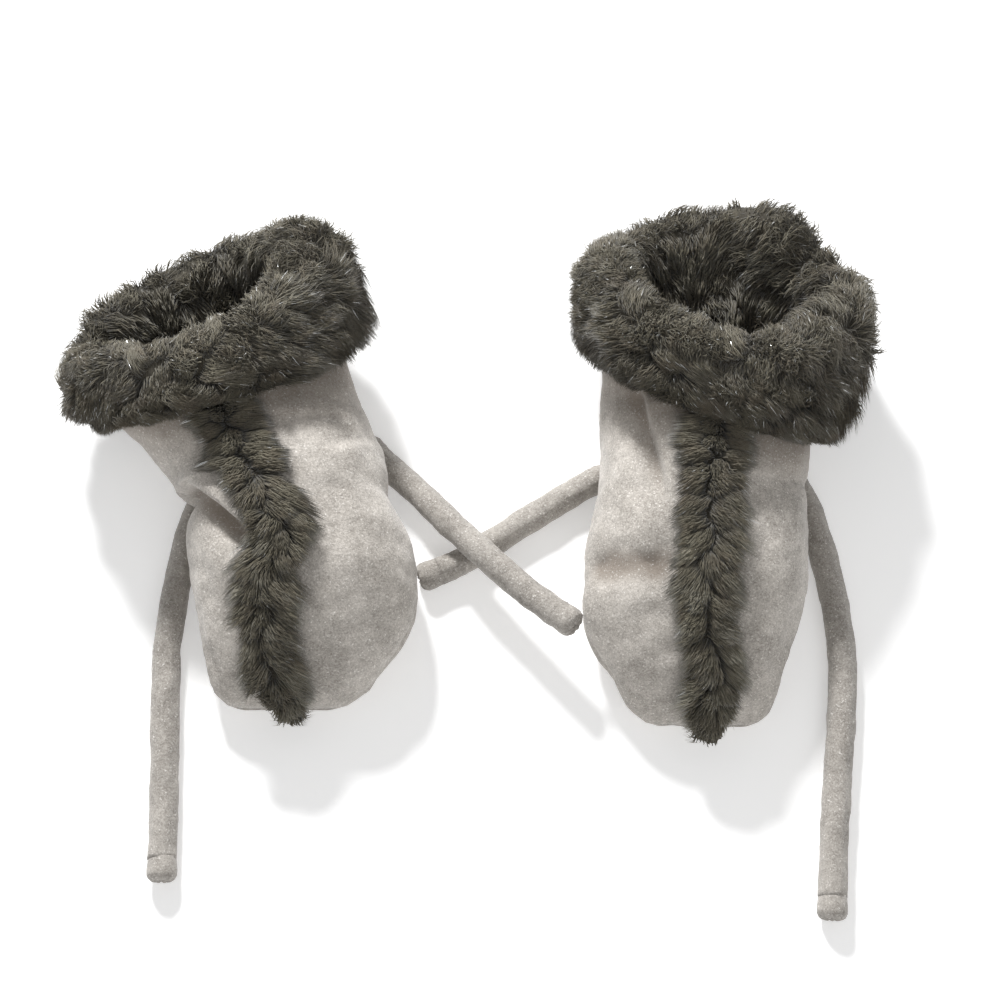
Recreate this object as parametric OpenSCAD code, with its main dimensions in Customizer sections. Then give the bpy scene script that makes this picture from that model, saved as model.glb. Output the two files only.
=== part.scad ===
// A pair of soft infant mitts laid palm down. Each is a lined suede bag with a folded pile
// cuff, a pile strip along the back and one stuffed tie held under the wrist.
// Millimetres, +Z up, tips towards -Y, origin at the middle of the pair's footprint.

/* [Hand] */
// Length of the left hand as it lies, from the wrist to the tip
left_hand_length = 59; // [56:1:72]
// Length of the right hand as it lies, from the wrist to the tip
right_hand_length = 64; // [56:1:78]
// Width across the widest part of the hand
hand_width = 62; // [58:1:72]
// Height of the back of the hand above the palm
hand_height = 36; // [32:1:44]

/* [Wrist and gauntlet] */
// Width of the left mitt at its wrist
left_wrist_width = 54; // [48:1:60]
// Width of the right mitt at its wrist
right_wrist_width = 57; // [50:1:62]
// Length of the gauntlet from the wrist to the rim
gauntlet_length = 58; // [52:1:72]
// Width of the rim inside its pile
mouth_width = 66; // [60:1:76]
// Depth of the left rim from front lip to back lip
left_mouth_depth = 44; // [40:1:58]
// Depth of the right rim from front lip to back lip
right_mouth_depth = 54; // [42:1:60]
// Angle at which the rim faces upwards
rim_pitch = 47; // [36:1:52]

/* [Fur cuff] */
// Height of the folded band below the rim, on the side next to the other mitt
cuff_band = 20; // [18:1:28]
// Extra height of the left band on its outer side
left_band_drop = 1; // [0:0.5:8]
// Extra height of the right band on its outer side
right_band_drop = 17; // [0:0.5:18]
// Slump of the left front lip towards the wrist
left_lip_slump = 1; // [0:0.5:10]
// Slump of the right front lip towards the wrist
right_lip_slump = 4; // [0:0.5:10]
// Rise of the left fold above the rim at its inner back corner
left_fold_rise = 6; // [0:0.5:9]
// Rise of the right fold above the rim at its back lip
right_fold_rise = 9; // [0:0.5:11]
// Thickness of the pile outside the gauntlet
cuff_pile = 10.5; // [8:0.5:14]
// Thickness of the pile inside the mouth
mouth_pile = 5; // [3:0.5:7]
// Depth to which the pile turns down inside the mouth
cuff_turn_in = 14; // [8:1:18]
// Height of the pile above the rim
rim_pile = 7; // [4:0.5:9]

/* [Back strip] */
// Width of the backing tape between the two back panels
tape_width = 10; // [8:0.5:14]
// Reach of the pile to each side of the centre line
strip_reach = 10.5; // [9:0.5:14]
// Thickness of the strip's pile
strip_pile = 7; // [4:0.5:9]
// Length of the tuft past the tip
tuft_length = 2.5; // [2:0.5:8]

/* [Layers] */
// Thickness of the suede
suede = 1.2; // [0.8:0.1:1.8]
// Thickness of the wadding
wadding = 2; // [1:0.1:3]
// Thickness of the fleece lining
lining = 1; // [0.6:0.1:1.6]
// Space between two layers
layer_gap = 0.2; // [0.1:0.05:0.3]

/* [Ties] */
// Diameter of the stuffed tie
tie_d = 8; // [6:0.5:8]
// Length of the gathered end of a tie
tie_end_length = 6; // [5:0.5:7]
// Length of the suede tack that holds the tie
tack_length = 9.4; // [6:0.2:9.4]

/* [Layout] */
// Place of the left wrist, to the left of the centre
left_wrist_x = 52; // [51:1:60]
// Place of the right wrist, to the right of the centre
right_wrist_x = 61; // [60:1:74]
// Distance of both wrists from the centre towards the tips
wrist_back = 3.5; // [0:0.5:8]

/* [Hidden] */
// Clearance between the cuff's pelt and the layers that it folds over
cuff_gap = 1.1;
// Clearance above the tie where it passes under the wrist
tie_gap = 0.6;
// Half of the gap between the palm and the back along the edge seam
seam_gap = layer_gap / 2;

wadding_out = suede + 2 * layer_gap;
wadding_in = wadding_out + wadding;
lining_out = wadding_in + layer_gap;
lining_in = lining_out + lining;
under_wrist = tie_d + tie_gap;
wrist_seam = 0.48 * hand_height;
wrist_top = 1.06 * hand_height;

// Roundness of the back and of the palm, as superellipse powers
back_power = 2.2;
palm_power = 2.7;

// The hand from tip to wrist: share of the length, then share of the half width,
// then heights of the edge seam, the back and the palm as shares of the hand's height
hand_form = [
    [-1.00, 0.47, 0.20, 0.22, 0.18],
    [-0.97, 0.61, 0.21, 0.34, 0.07],
    [-0.90, 0.77, 0.25, 0.48, 0.00],
    [-0.78, 0.87, 0.31, 0.64, -0.02],
    [-0.62, 0.95, 0.37, 0.80, -0.02],
    [-0.42, 1.00, 0.40, 0.95, -0.02],
    [-0.22, 0.97, 0.43, 1.03, -0.01]
];

// Where the back strip runs: share of the hand or gauntlet, then distance beside the centre line
left_strip_line = [[-1, 0.5], [-0.8, -7], [-0.5, -9.5], [-0.25, -3.5], [0, -8], [0.5, -5], [1, -2]];
right_strip_line = [[-1, 1], [-0.8, 3.5], [-0.5, 1.5], [-0.25, 2.5], [0, 1.5], [0.5, 2.5], [1, 2]];

// Each mitt: wrist width, mouth depth, yaw of the rim, lean of the gauntlet, bow of the hand,
// sag of the rim, place of the wrist, line of the strip, length of the hand, power of the
// gauntlet's flare, outer side (-1 left, 1 right), band drop, fold rise and its side, slump of
// the front lip and its side. A side is an angle round the mitt from its outer edge
WRIST = 0;
DEPTH = 1;
YAW = 2;
LEAN = 3;
BOW = 4;
SAG = 5;
PLACE = 6;
LINE = 7;
REACH = 8;
FLARE = 9;
OUTER = 10;
DROP = 11;
LIFT = 12;
LIFT_SIDE = 13;
SLUMP = 14;
SLUMP_SIDE = 15;
left_mitt = [left_wrist_width, left_mouth_depth, 25, 43, 5.5, 3.8, [-left_wrist_x, -wrist_back, 0],
    left_strip_line, left_hand_length, 0.7, -1, left_band_drop, left_fold_rise, 180, left_lip_slump, 110];
right_mitt = [right_wrist_width, right_mouth_depth, -16, -9, -2.5, 2.6, [right_wrist_x, -wrist_back, 0],
    right_strip_line, right_hand_length, 1.5, 1, right_band_drop, right_fold_rise, -50, right_lip_slump, 50];

// Rows of the grids, as shares of the hand and of the gauntlet
hand_rows = [-1, -0.97, -0.93, -0.87, -0.78, -0.68, -0.56, -0.44, -0.32, -0.22, -0.1, 0];
gauntlet_rows = [0.12, 0.25, 0.4, 0.55, 0.7, 0.85, 1];
inner_hand_rows = [-1, -0.93, -0.87, -0.78, -0.56, -0.32, -0.22, -0.1, 0];
inner_gauntlet_rows = [0.12, 0.25, 0.4, 0.55, 0.7];
function skin_rows(m) = concat(hand_rows * m[REACH], gauntlet_rows * gauntlet_length);
function inner_rows(m, end) = concat(inner_hand_rows * m[REACH], inner_gauntlet_rows * gauntlet_length,
    [end * gauntlet_length]);
ring_step = 15;

// Moves the pair's footprint over the origin
footprint_shift = [4, -3.75, 0];
// Middle of each tack, its turn, and the routes of the ties that start at its two ends
left_tack = [-55, 12, 4] + footprint_shift;
left_tack_yaw = 20;
right_tack = [60, 7.5, 4] + footprint_shift;
right_tack_yaw = 0;
left_outer_route = [[-67, 8.2, 4], [-73, 4.6, 4], [-77.6, -1, 4], [-80.4, -9, 4], [-82.2, -18, 4],
    [-84, -30, 4], [-85, -43, 4], [-84.8, -56, 4], [-84.4, -68, 4], [-83.7, -84, 4], [-83.3, -100.5, 4]];
left_inner_route = [[-44.5, 16.6, 4], [-38, 18.6, 4], [-32, 16.8, 4], [-26.7, 11.6, 4.3], [-21, 6.2, 5.2],
    [-14.6, -0.4, 6.8], [-8, -8.2, 9.7], [-1, -15.8, 12.6], [6, -22.8, 13.8], [14, -30.4, 15.2], [22, -37, 17.4]];
right_inner_route = [[46, 7.8, 4], [39, 8, 4], [33.3, 6.6, 4], [22.8, 0.3, 4], [9.6, -8.2, 4],
    [1, -14, 4], [-6, -18.3, 4], [-11, -20.5, 4]];
right_outer_route = [[73, 9, 4], [81, 9.4, 4], [87.4, 6.4, 4], [91.4, 0, 4], [94, -8, 4], [96.6, -20, 4],
    [98.7, -33, 4], [99.4, -47, 4], [98.4, -62, 4], [96.6, -77, 4], [94.9, -92, 4], [93.4, -110.5, 4]];

suede_color = [0.66, 0.63, 0.6];
fur_color = [0.36, 0.35, 0.31];
fleece_color = [0.44, 0.42, 0.38];
wadding_color = [0.9, 0.89, 0.86];

// ---- Small helpers ----

function mix(a, b, share) = a + (b - a) * share;
function total(list) = list * [for (item = list) 1];
function unit(v) = v / norm(v);
function side_power(c, power) = sign(c) * pow(abs(c), 2 / power);

// Value of column c of a table at key x, on a smooth curve through its rows
function slope(rows, i, c) = let (a = max(i - 1, 0), b = min(i + 1, len(rows) - 1))
    (rows[b][c] - rows[a][c]) / (rows[b][0] - rows[a][0]);
function segment(rows, x, i = 0) = (i >= len(rows) - 2 || x < rows[i + 1][0]) ? i : segment(rows, x, i + 1);
function smooth(rows, x, c) = let (
    i = segment(rows, x), w = rows[i + 1][0] - rows[i][0], s = (x - rows[i][0]) / w)
    (2 * s * s * s - 3 * s * s + 1) * rows[i][c] + (s * s * s - 2 * s * s + s) * w * slope(rows, i, c)
    + (3 * s * s - 2 * s * s * s) * rows[i + 1][c] + (s * s * s - s * s) * w * slope(rows, i + 1, c);

// ---- The mitt's form ----

// A station holds its centre, its sideways and upward directions, then the half width and the
// heights above and below the seam, and the way in which its lip slumps
CENTRE = 0;
SIDE = 1;
UP = 2;
HALF = 3;
RISE = 4;
FALL = 5;
SLIDE = 6;

function hand_table(m) = concat(hand_form, [[0, m[WRIST] / hand_width, wrist_seam / hand_height,
    wrist_top / hand_height, under_wrist / hand_height]]);

function pitch(g) = rim_pitch * pow(g, 1.3);
function yaw(m, g) = m[YAW] * pow(g, 0.5);
function lean(m, g) = m[LEAN] * pow(g, 0.25) * (1 - 0.5 * g * g);
function heading(m, g) = [-sin(lean(m, g)) * cos(pitch(g)), cos(lean(m, g)) * cos(pitch(g)), sin(pitch(g))];
spine_steps = 6;
function spine(m, g) = g * gauntlet_length / spine_steps
    * [for (i = [0:2]) total([for (k = [0:spine_steps - 1]) heading(m, g * (k + 0.5) / spine_steps)[i]])];

function hand_station(m, t, off) = let (
    table = hand_table(m), f = max(t / m[REACH], -1),
    past = min(t + m[REACH], 0),
    seam = smooth(table, f, 2) * hand_height)
    [[m[BOW] * sin(-180 * f * 0.9), f * (m[REACH] - off) + past, seam + past * 0.25], [1, 0, 0], [0, 0, 1],
     smooth(table, f, 1) * hand_width / 2, smooth(table, f, 3) * hand_height - seam,
     seam - smooth(table, f, 4) * hand_height, [0, 0, 0]];

function gauntlet_station(m, t) = let (
    g = min(t / gauntlet_length, 1), past = max(t - gauntlet_length, 0), p = pitch(g), w = yaw(m, g),
    ahead = [-sin(w) * cos(p), cos(w) * cos(p), sin(p)])
    [spine(m, g) + [0, 0, wrist_seam - m[SAG] * g * g] + ahead * past,
     [cos(w), sin(w), 0], [sin(w) * sin(p), -cos(w) * sin(p), cos(p)],
     mix(m[WRIST], mouth_width, pow(g, m[FLARE])) / 2,
     mix(wrist_top - wrist_seam, m[DEPTH] / 2, pow(g, 1.2)),
     mix(wrist_seam - under_wrist, m[DEPTH] / 2, pow(g, 2.25)), ahead * sin(90 * g)];

function station(m, t, off) = t < 0 ? hand_station(m, t, off) : gauntlet_station(m, t);

// 1 on the side of the mitt at the angle side from its outer edge, 0 opposite
function share_towards(m, v, side) = (1 + cos((m[OUTER] > 0 ? v : 180 - v) - side)) / 2;

// Point of the skin at angle v round a station, off below the outside. It never dips
// under the surface that the mitt lies on.
function skin(m, st, v, off) = let (
    back = v <= 180, power = back ? back_power : palm_power,
    across = (st[HALF] - off) * side_power(cos(v), power),
    rise = max((back ? st[RISE] : st[FALL]) - off, 0.25) * abs(side_power(sin(v), power)) + seam_gap,
    slump = m[SLUMP] * pow(share_towards(m, v, m[SLUMP_SIDE]), 2),
    p = m[PLACE] + footprint_shift + st[CENTRE] + st[SIDE] * across + st[UP] * (back ? rise : -rise)
        - st[SLIDE] * slump)
    [p[0], p[1], max(p[2], max(off, 0))];

// Angle of the point of the back that lies s beside the centre line
function angle_at(st, s, off) = acos(sign(s) * pow(min(abs(s) / (st[HALF] - off), 0.97), back_power / 2));

// Distance of the strip's middle from the centre line
function strip_at(m, t) = smooth(m[LINE], t < 0 ? max(t / m[REACH], -1) : min(t / gauntlet_length, 1), 1);

// ---- Solids from grids of points ----

// One solid from rings of points. A ring's first half runs along one side of a sheet and its
// second half back along the other, so the first and last ring close as narrow strips.
module sheet_solid(rings) {
    n = len(rings[0]);
    last = len(rings) - 1;
    sides = [for (i = [0:last - 1], j = [0:n - 1]) each [
        [i * n + j, i * n + (j + 1) % n, (i + 1) * n + (j + 1) % n],
        [i * n + j, (i + 1) * n + (j + 1) % n, (i + 1) * n + j]]];
    ends = [for (j = [0:n / 2 - 2]) each [
        [j, n - 1 - j, n - 2 - j], [j, n - 2 - j, j + 1],
        [last * n + j, last * n + n - 2 - j, last * n + n - 1 - j],
        [last * n + j, last * n + j + 1, last * n + n - 2 - j]]];
    polyhedron([for (r = rings) each r], concat(sides, ends));
}

// One closed loop of sections, each a ring of points
module ring_solid(rings) {
    n = len(rings[0]);
    k = len(rings);
    polyhedron([for (r = rings) each r], [for (i = [0:k - 1], j = [0:n - 1]) each [
        [i * n + j, i * n + (j + 1) % n, ((i + 1) % k) * n + (j + 1) % n],
        [i * n + j, ((i + 1) % k) * n + (j + 1) % n, ((i + 1) % k) * n + j]]]);
}

// A round tube along a route, with flat ends
tube_sides = 10;
function along(route, i) = unit(route[min(i + 1, len(route) - 1)] - route[max(i - 1, 0)]);
module tube(route, d, start) {
    n = tube_sides;
    last = len(route) - 1;
    points = [for (i = [0:last]) let (a = i == 0 ? start : along(route, i), s = unit(cross(a, [0, 0, 1])), u = cross(s, a))
        each [for (j = [0:n - 1]) let (v = (j + 0.5) * 360 / n) route[i] + (s * cos(v) + u * sin(v)) * d / 2]];
    sides = [for (i = [0:last - 1], j = [0:n - 1]) each [
        [i * n + j, i * n + (j + 1) % n, (i + 1) * n + (j + 1) % n],
        [i * n + j, (i + 1) * n + (j + 1) % n, (i + 1) * n + j]]];
    polyhedron([for (p = points) [p[0], p[1], max(p[2], 0)]],
        concat(sides, [[for (j = [n - 1:-1:0]) j], [for (j = [0:n - 1]) last * n + j]]));
}

// ---- Layers of the bag ----

// A layer of the back or of the palm between two depths below the outside
module layer(m, rows, from, to, deep, shallow) {
    sheet_solid([for (t = rows) let (a = station(m, t, shallow), b = station(m, t, deep))
        concat([for (v = [from:ring_step:to]) skin(m, a, v, shallow)],
               [for (v = [to:-ring_step:from]) skin(m, b, v, deep)])]);
}

// Point across one back panel, from the edge seam at share 0 up to the tape at share 1
function panel_point(m, t, left, share, off) = let (
    st = station(m, t, off), half = tape_width / 2 + layer_gap,
    edge = angle_at(st, strip_at(m, t) + (left ? -half : half), off))
    skin(m, st, left ? mix(180, edge, share) : mix(0, edge, share), off);

panel_steps = 6;
module back_panel(m, left) {
    shares = [for (i = [0:panel_steps]) left ? 1 - i / panel_steps : i / panel_steps];
    sheet_solid([for (t = skin_rows(m))
        concat([for (share = shares) panel_point(m, t, left, share, 0)],
               [for (i = [panel_steps:-1:0]) panel_point(m, t, left, shares[i], suede)])]);
}

// ---- Fur ----

// Section of the folded cuff: distance past the rim, then depth below the outside
wall = lining_in + cuff_gap;
cuff_section = [
    [-cuff_band, -cuff_gap], [-0.66 * cuff_band, -cuff_gap], [-0.4 * cuff_band, -cuff_gap],
    [-0.15 * cuff_band, -cuff_gap], [0.6, -cuff_gap], [0.6, wall], [-0.25 * cuff_turn_in, wall],
    [-0.6 * cuff_turn_in, wall], [-cuff_turn_in, wall],
    [-cuff_turn_in - 1, wall + 0.6 * mouth_pile], [-0.5 * cuff_turn_in, wall + mouth_pile],
    [0.25 * rim_pile, wall + 0.6 * mouth_pile], [0.8 * rim_pile, 0.7 * wall], [rim_pile, 0],
    [0.75 * rim_pile, -0.5 * cuff_pile], [0, -0.88 * cuff_pile], [-0.3 * cuff_band, -cuff_pile],
    [-0.7 * cuff_band, -cuff_pile], [-cuff_band, -0.9 * cuff_pile], [-cuff_band - 3, -0.45 * cuff_pile]
];

// Shift of a point of the cuff past the rim, where the fold rises and where the band drops
function cuff_shift(m, v, past) = let (low = min(max(-past / cuff_band, 0), 1))
    mix(m[LIFT] * pow(share_towards(m, v, m[LIFT_SIDE]), 2), -m[DROP] * pow(share_towards(m, v, 60), 2), low);

module fur_cuff(m) {
    ring_solid([for (v = [0:ring_step:345]) [for (p = cuff_section)
        skin(m, station(m, gauntlet_length + p[0] + cuff_shift(m, v, p[0]), p[1]), v, p[1])]]);
}

// Section of the back strip: a tape between the panels and the pile that spreads over them.
// Each point is a distance from the centre line and a height above the skin.
function strip_section(fullness) = let (
    r = mix(tape_width / 2 + 0.2, strip_reach, fullness), h = max(strip_pile * fullness, 0.3),
    tape = tape_width / 2)
    [[tape, -suede + 0.1], [tape, 0.1], [tape + 0.1, 0.3], [r, 0.35], [r, 0.45 * h + 0.15], [0.7 * r, 0.85 * h + 0.05],
     [0.3 * r, h + 0.05], [-0.3 * r, h + 0.05], [-0.7 * r, 0.85 * h + 0.05], [-r, 0.45 * h + 0.15], [-r, 0.35],
     [-tape - 0.1, 0.3], [-tape, 0.1], [-tape, -suede + 0.1]];

// Places along the strip with the fullness of the pile there, which ends where the cuff begins
function strip_rows(m) = let (foot = gauntlet_length - cuff_band - 0.83 * m[DROP] - 4.7) concat(
    [[-m[REACH] - tuft_length, 0.45], [-m[REACH] - 0.6 * tuft_length, 0.8]],
    [for (f = hand_rows) [f * m[REACH], 1]],
    [[0.12 * gauntlet_length, 1], [0.3 * gauntlet_length, 1], [foot - 4, 1], [foot - 1, 0.8],
     [foot, 0.4], [foot + 0.3, 0.01]],
    [for (g = [0.62, 0.7, 0.78, 0.88, 1]) [g * gauntlet_length, 0.01]]);

module back_fur_strip(m) {
    sheet_solid([for (row = strip_rows(m)) [for (p = strip_section(row[1]))
        let (st = station(m, row[0], -p[1]))
        skin(m, st, angle_at(st, strip_at(m, row[0]) + p[0], -p[1]), -p[1])]]);
}

// ---- Ties ----

// Suede loop that holds the middle of the tie to the wrist
tack_width = tie_d + 0.4;
module tie_tack(place, turn) {
    color(suede_color * 0.94)
    translate([place[0], place[1], 0]) rotate(turn)
    translate([-tack_length / 2, -tack_width / 2, 0.2]) cube([tack_length, tack_width, under_wrist - 0.5]);
}

// Gathered end of a tie: it swells past the tube and closes in a small pucker
module tie_end(route) {
    last = route[len(route) - 1];
    way = along(route, len(route) - 1);
    r = tie_d / 2;
    color(suede_color)
    translate(last)
    rotate([0, 90 - asin(way[2]), atan2(way[1], way[0])])
    rotate_extrude($fn = 24)
    polygon([[0, 0], [r * 0.98, 0], [r, 0.45 * tie_end_length], [0.94 * r, 0.8 * tie_end_length],
        [0.66 * r, tie_end_length], [0.3 * r, 0.94 * tie_end_length], [0, 0.86 * tie_end_length]]);
}

function placed(route) = [for (p = route) p + footprint_shift];
module tie(tack, turn, route) {
    way = [cos(turn), sin(turn), 0];
    color(suede_color) tube(concat([tack + way * tack_length / 2], placed(route)), tie_d, way);
}

// ---- Named pieces ----

module left_back_outer_panel() { color(suede_color) back_panel(left_mitt, true); }
module left_back_inner_panel() { color(suede_color) back_panel(left_mitt, false); }
module left_palm_panel() { color(suede_color * 0.97) layer(left_mitt, skin_rows(left_mitt), 180, 360, suede, 0); }
module left_back_fur_strip() { color(fur_color) back_fur_strip(left_mitt); }
module left_fur_cuff() { color(fur_color) fur_cuff(left_mitt); }
module left_lining_back() { color(fleece_color) layer(left_mitt, inner_rows(left_mitt, 1), 0, 180, lining_in, lining_out); }
module left_lining_palm() { color(fleece_color) layer(left_mitt, inner_rows(left_mitt, 1), 180, 360, lining_in, lining_out); }
module left_wadding_back() { color(wadding_color) layer(left_mitt, inner_rows(left_mitt, 0.98), 0, 180, wadding_in, wadding_out); }
module left_wadding_palm() { color(wadding_color) layer(left_mitt, inner_rows(left_mitt, 0.98), 180, 360, wadding_in, wadding_out); }
module left_tie_tack() { tie_tack(left_tack, left_tack_yaw); }
module left_tie_outer() { tie(left_tack, left_tack_yaw + 180, left_outer_route); }
module left_tie_inner() { tie(left_tack, left_tack_yaw, left_inner_route); }
module left_tie_outer_end() { tie_end(placed(left_outer_route)); }
module left_tie_inner_end() { tie_end(placed(left_inner_route)); }

module right_back_outer_panel() { color(suede_color) back_panel(right_mitt, false); }
module right_back_inner_panel() { color(suede_color) back_panel(right_mitt, true); }
module right_palm_panel() { color(suede_color * 0.97) layer(right_mitt, skin_rows(right_mitt), 180, 360, suede, 0); }
module right_back_fur_strip() { color(fur_color) back_fur_strip(right_mitt); }
module right_fur_cuff() { color(fur_color) fur_cuff(right_mitt); }
module right_lining_back() { color(fleece_color) layer(right_mitt, inner_rows(right_mitt, 1), 0, 180, lining_in, lining_out); }
module right_lining_palm() { color(fleece_color) layer(right_mitt, inner_rows(right_mitt, 1), 180, 360, lining_in, lining_out); }
module right_wadding_back() { color(wadding_color) layer(right_mitt, inner_rows(right_mitt, 0.98), 0, 180, wadding_in, wadding_out); }
module right_wadding_palm() { color(wadding_color) layer(right_mitt, inner_rows(right_mitt, 0.98), 180, 360, wadding_in, wadding_out); }
module right_tie_tack() { tie_tack(right_tack, right_tack_yaw); }
module right_tie_outer() { tie(right_tack, right_tack_yaw, right_outer_route); }
module right_tie_inner() { tie(right_tack, right_tack_yaw + 180, right_inner_route); }
module right_tie_outer_end() { tie_end(placed(right_outer_route)); }
module right_tie_inner_end() { tie_end(placed(right_inner_route)); }

left_back_outer_panel();
left_back_inner_panel();
left_palm_panel();
left_back_fur_strip();
left_fur_cuff();
left_lining_back();
left_lining_palm();
left_wadding_back();
left_wadding_palm();
left_tie_tack();
left_tie_outer();
left_tie_inner();
left_tie_outer_end();
left_tie_inner_end();
right_back_outer_panel();
right_back_inner_panel();
right_palm_panel();
right_back_fur_strip();
right_fur_cuff();
right_lining_back();
right_lining_palm();
right_wadding_back();
right_wadding_palm();
right_tie_tack();
right_tie_outer();
right_tie_inner();
right_tie_outer_end();
right_tie_inner_end();
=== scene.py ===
"""Looks of a pair of lined infant mitts in glitter suede, with pile cuffs and stuffed ties."""

import math
from dataclasses import dataclass

import bpy
import numpy as np
from bpy.props import FloatProperty, FloatVectorProperty, IntProperty, PointerProperty
from bpy.types import Operator, Panel, PropertyGroup
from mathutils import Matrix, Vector
from mathutils.kdtree import KDTree


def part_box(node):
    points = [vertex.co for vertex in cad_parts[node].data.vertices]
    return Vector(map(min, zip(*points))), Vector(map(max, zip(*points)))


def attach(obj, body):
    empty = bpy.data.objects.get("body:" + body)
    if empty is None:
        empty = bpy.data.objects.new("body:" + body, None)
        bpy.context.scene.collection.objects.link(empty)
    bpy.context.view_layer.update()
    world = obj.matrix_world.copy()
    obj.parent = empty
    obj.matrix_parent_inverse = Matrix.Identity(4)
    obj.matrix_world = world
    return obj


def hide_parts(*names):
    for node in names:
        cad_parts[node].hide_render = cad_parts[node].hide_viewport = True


bl_info = {
    "name": "Infant mitts",
    "version": (1, 0, 0),
    "blender": (4, 5, 0),
    "location": "View3D > Sidebar > Mitts",
    "description": "Dresses a pair of lined mitts with suede, pile and stuffed ties",
    "category": "Object",
}

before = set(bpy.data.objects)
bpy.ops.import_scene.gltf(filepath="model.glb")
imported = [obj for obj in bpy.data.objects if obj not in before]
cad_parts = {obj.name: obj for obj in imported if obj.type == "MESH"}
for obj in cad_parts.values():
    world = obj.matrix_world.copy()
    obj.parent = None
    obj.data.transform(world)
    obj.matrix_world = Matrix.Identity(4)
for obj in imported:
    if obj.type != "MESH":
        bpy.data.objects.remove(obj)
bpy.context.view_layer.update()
MM = 0.001

# ---------------------------------------------------------------------------
# The form of a mitt, in metres: the same skin that the solids follow
# ---------------------------------------------------------------------------

HAND_WIDTH = 62 * MM
HAND_HEIGHT = 36 * MM
GAUNTLET_LENGTH = 58 * MM
MOUTH_WIDTH = 66 * MM
RIM_PITCH = 47
UNDER_WRIST = 8.6 * MM
WRIST_SEAM = 0.48 * HAND_HEIGHT
WRIST_TOP = 1.06 * HAND_HEIGHT
BACK_POWER = 2.2
PALM_POWER = 2.7
SPINE_STEPS = 6
SUEDE = 1.2 * MM
WADDING_OUT = 1.6 * MM
WADDING_IN = 3.6 * MM
LINING_OUT = 3.8 * MM
LINING_IN = 4.8 * MM
SEAM_GAP = 0.1 * MM
TAPE_WIDTH = 10 * MM
CUFF_BAND = 20 * MM
CUFF_TURN_IN = 14 * MM
LINING_PILE = 11 * MM
DEEP_PILE = 21 * MM
TIP_PUFF = 1.7 * MM
CUFF_GAP = 1.1 * MM
# Where the tip is drawn in: share of the hand's length, and how far that spreads
INNER_TAPER_AT = (-0.87, 0.21)
OUTER_TAPER_AT = (-0.80, 0.26)
HANG_START = 0.35 * GAUNTLET_LENGTH
# Between these places along the gauntlet the suede goes plain, under the cuff
PLAIN_UNDER_CUFF = (24 * MM, 33 * MM)
# How far below and above the cuff's lower edge the nap darkens with painted shade, standing for the
# cuff's shadow
PAINTED_SHADE_NEAR_CUFF = (28 * MM, 2 * MM)
# The cuff's lower edge drops most at this angle
DROP_SIDE = 60
# A crease's hill, in widths of the crease: where its top is and how far it falls away
HILL_AT = 0.55
HILL_WIDTH = 1.8
# Soft puffing of the suede: height, size of one puff and seed, all over and along the edge seam
PUFFS = ((0.5 * MM, 24 * MM, 11), (0.14 * MM, 8 * MM, 12))
EDGE_PUFF = (0.16 * MM, 3.6 * MM, 13)
EDGE_PUFF_REACH = 3.2 * MM
EDGE_SEAM_DEPTH = 0.6 * MM
EDGE_SEAM_WIDTH = 1.0 * MM
WRIST_Y = -3.5 * MM
FOOTPRINT_SHIFT = np.array([4.0, -3.75, 0]) * MM

# Share of the hand's length, then share of the half width, then heights of the edge seam,
# the back and the palm as shares of the hand's height
HAND_FORM = [
    (-1.00, 0.47, 0.20, 0.22, 0.18),
    (-0.97, 0.61, 0.21, 0.34, 0.07),
    (-0.90, 0.77, 0.25, 0.48, 0.00),
    (-0.78, 0.87, 0.31, 0.64, -0.02),
    (-0.62, 0.95, 0.37, 0.80, -0.02),
    (-0.42, 1.00, 0.40, 0.95, -0.02),
    (-0.22, 0.97, 0.43, 1.03, -0.01),
]


def mix(a, b, share):
    return a + (b - a) * share


def smooth_step(low, high, x):
    s = np.clip((x - low) / (high - low), 0, 1)
    return s * s * (3 - 2 * s)


def bump(x, centre, width):
    """A soft hill of height 1 at centre."""
    return np.exp(-(((x - centre) / width) ** 2))


def unit(vectors):
    """The same directions at length 1."""
    return vectors / np.maximum(np.linalg.norm(vectors, axis=-1, keepdims=True), 1e-9)


def direction(turn, pitch):
    """The way ahead, turned sideways and pitched up, both in radians."""
    return np.stack([-np.sin(turn) * np.cos(pitch), np.cos(turn) * np.cos(pitch), np.sin(pitch)], -1)


def alike(*values):
    """Numbers or arrays as arrays of one shape."""
    return np.broadcast_arrays(*(np.asarray(value, float) for value in values))


def half_turn(angle):
    """The same angle between -180 and 180 degrees."""
    return np.mod(angle + 180, 360) - 180


def smooth_table(rows, x, column):
    """Column of a table at the keys x, on a smooth curve through its rows."""
    table = np.array(rows, float)
    keys, values = table[:, 0], table[:, column]
    last = len(keys) - 1
    above = np.minimum(np.arange(last + 1) + 1, last)
    below = np.maximum(np.arange(last + 1) - 1, 0)
    slopes = (values[above] - values[below]) / (keys[above] - keys[below])
    i = np.clip(np.searchsorted(keys, x, side="right") - 1, 0, last - 1)
    width = keys[i + 1] - keys[i]
    s = (x - keys[i]) / width
    return (
        (2 * s**3 - 3 * s**2 + 1) * values[i]
        + (s**3 - 2 * s**2 + s) * width * slopes[i]
        + (3 * s**2 - 2 * s**3) * values[i + 1]
        + (s**3 - s**2) * width * slopes[i + 1]
    )


def ripple(points, wavelength, seed, waves=14):
    """Smooth unsteady noise of about -1 to 1, from plane waves in seeded directions."""
    draw = np.random.default_rng(seed)
    ways = draw.normal(size=(waves, 3))
    pace = draw.uniform(0.6, 1.5, (waves, 1))
    ways *= (2 * math.pi / wavelength) * pace / np.linalg.norm(ways, axis=1, keepdims=True)
    phases = draw.uniform(0, 2 * math.pi, waves)
    return np.sin(points @ ways.T + phases).sum(axis=-1) / math.sqrt(waves) * 0.8


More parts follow.
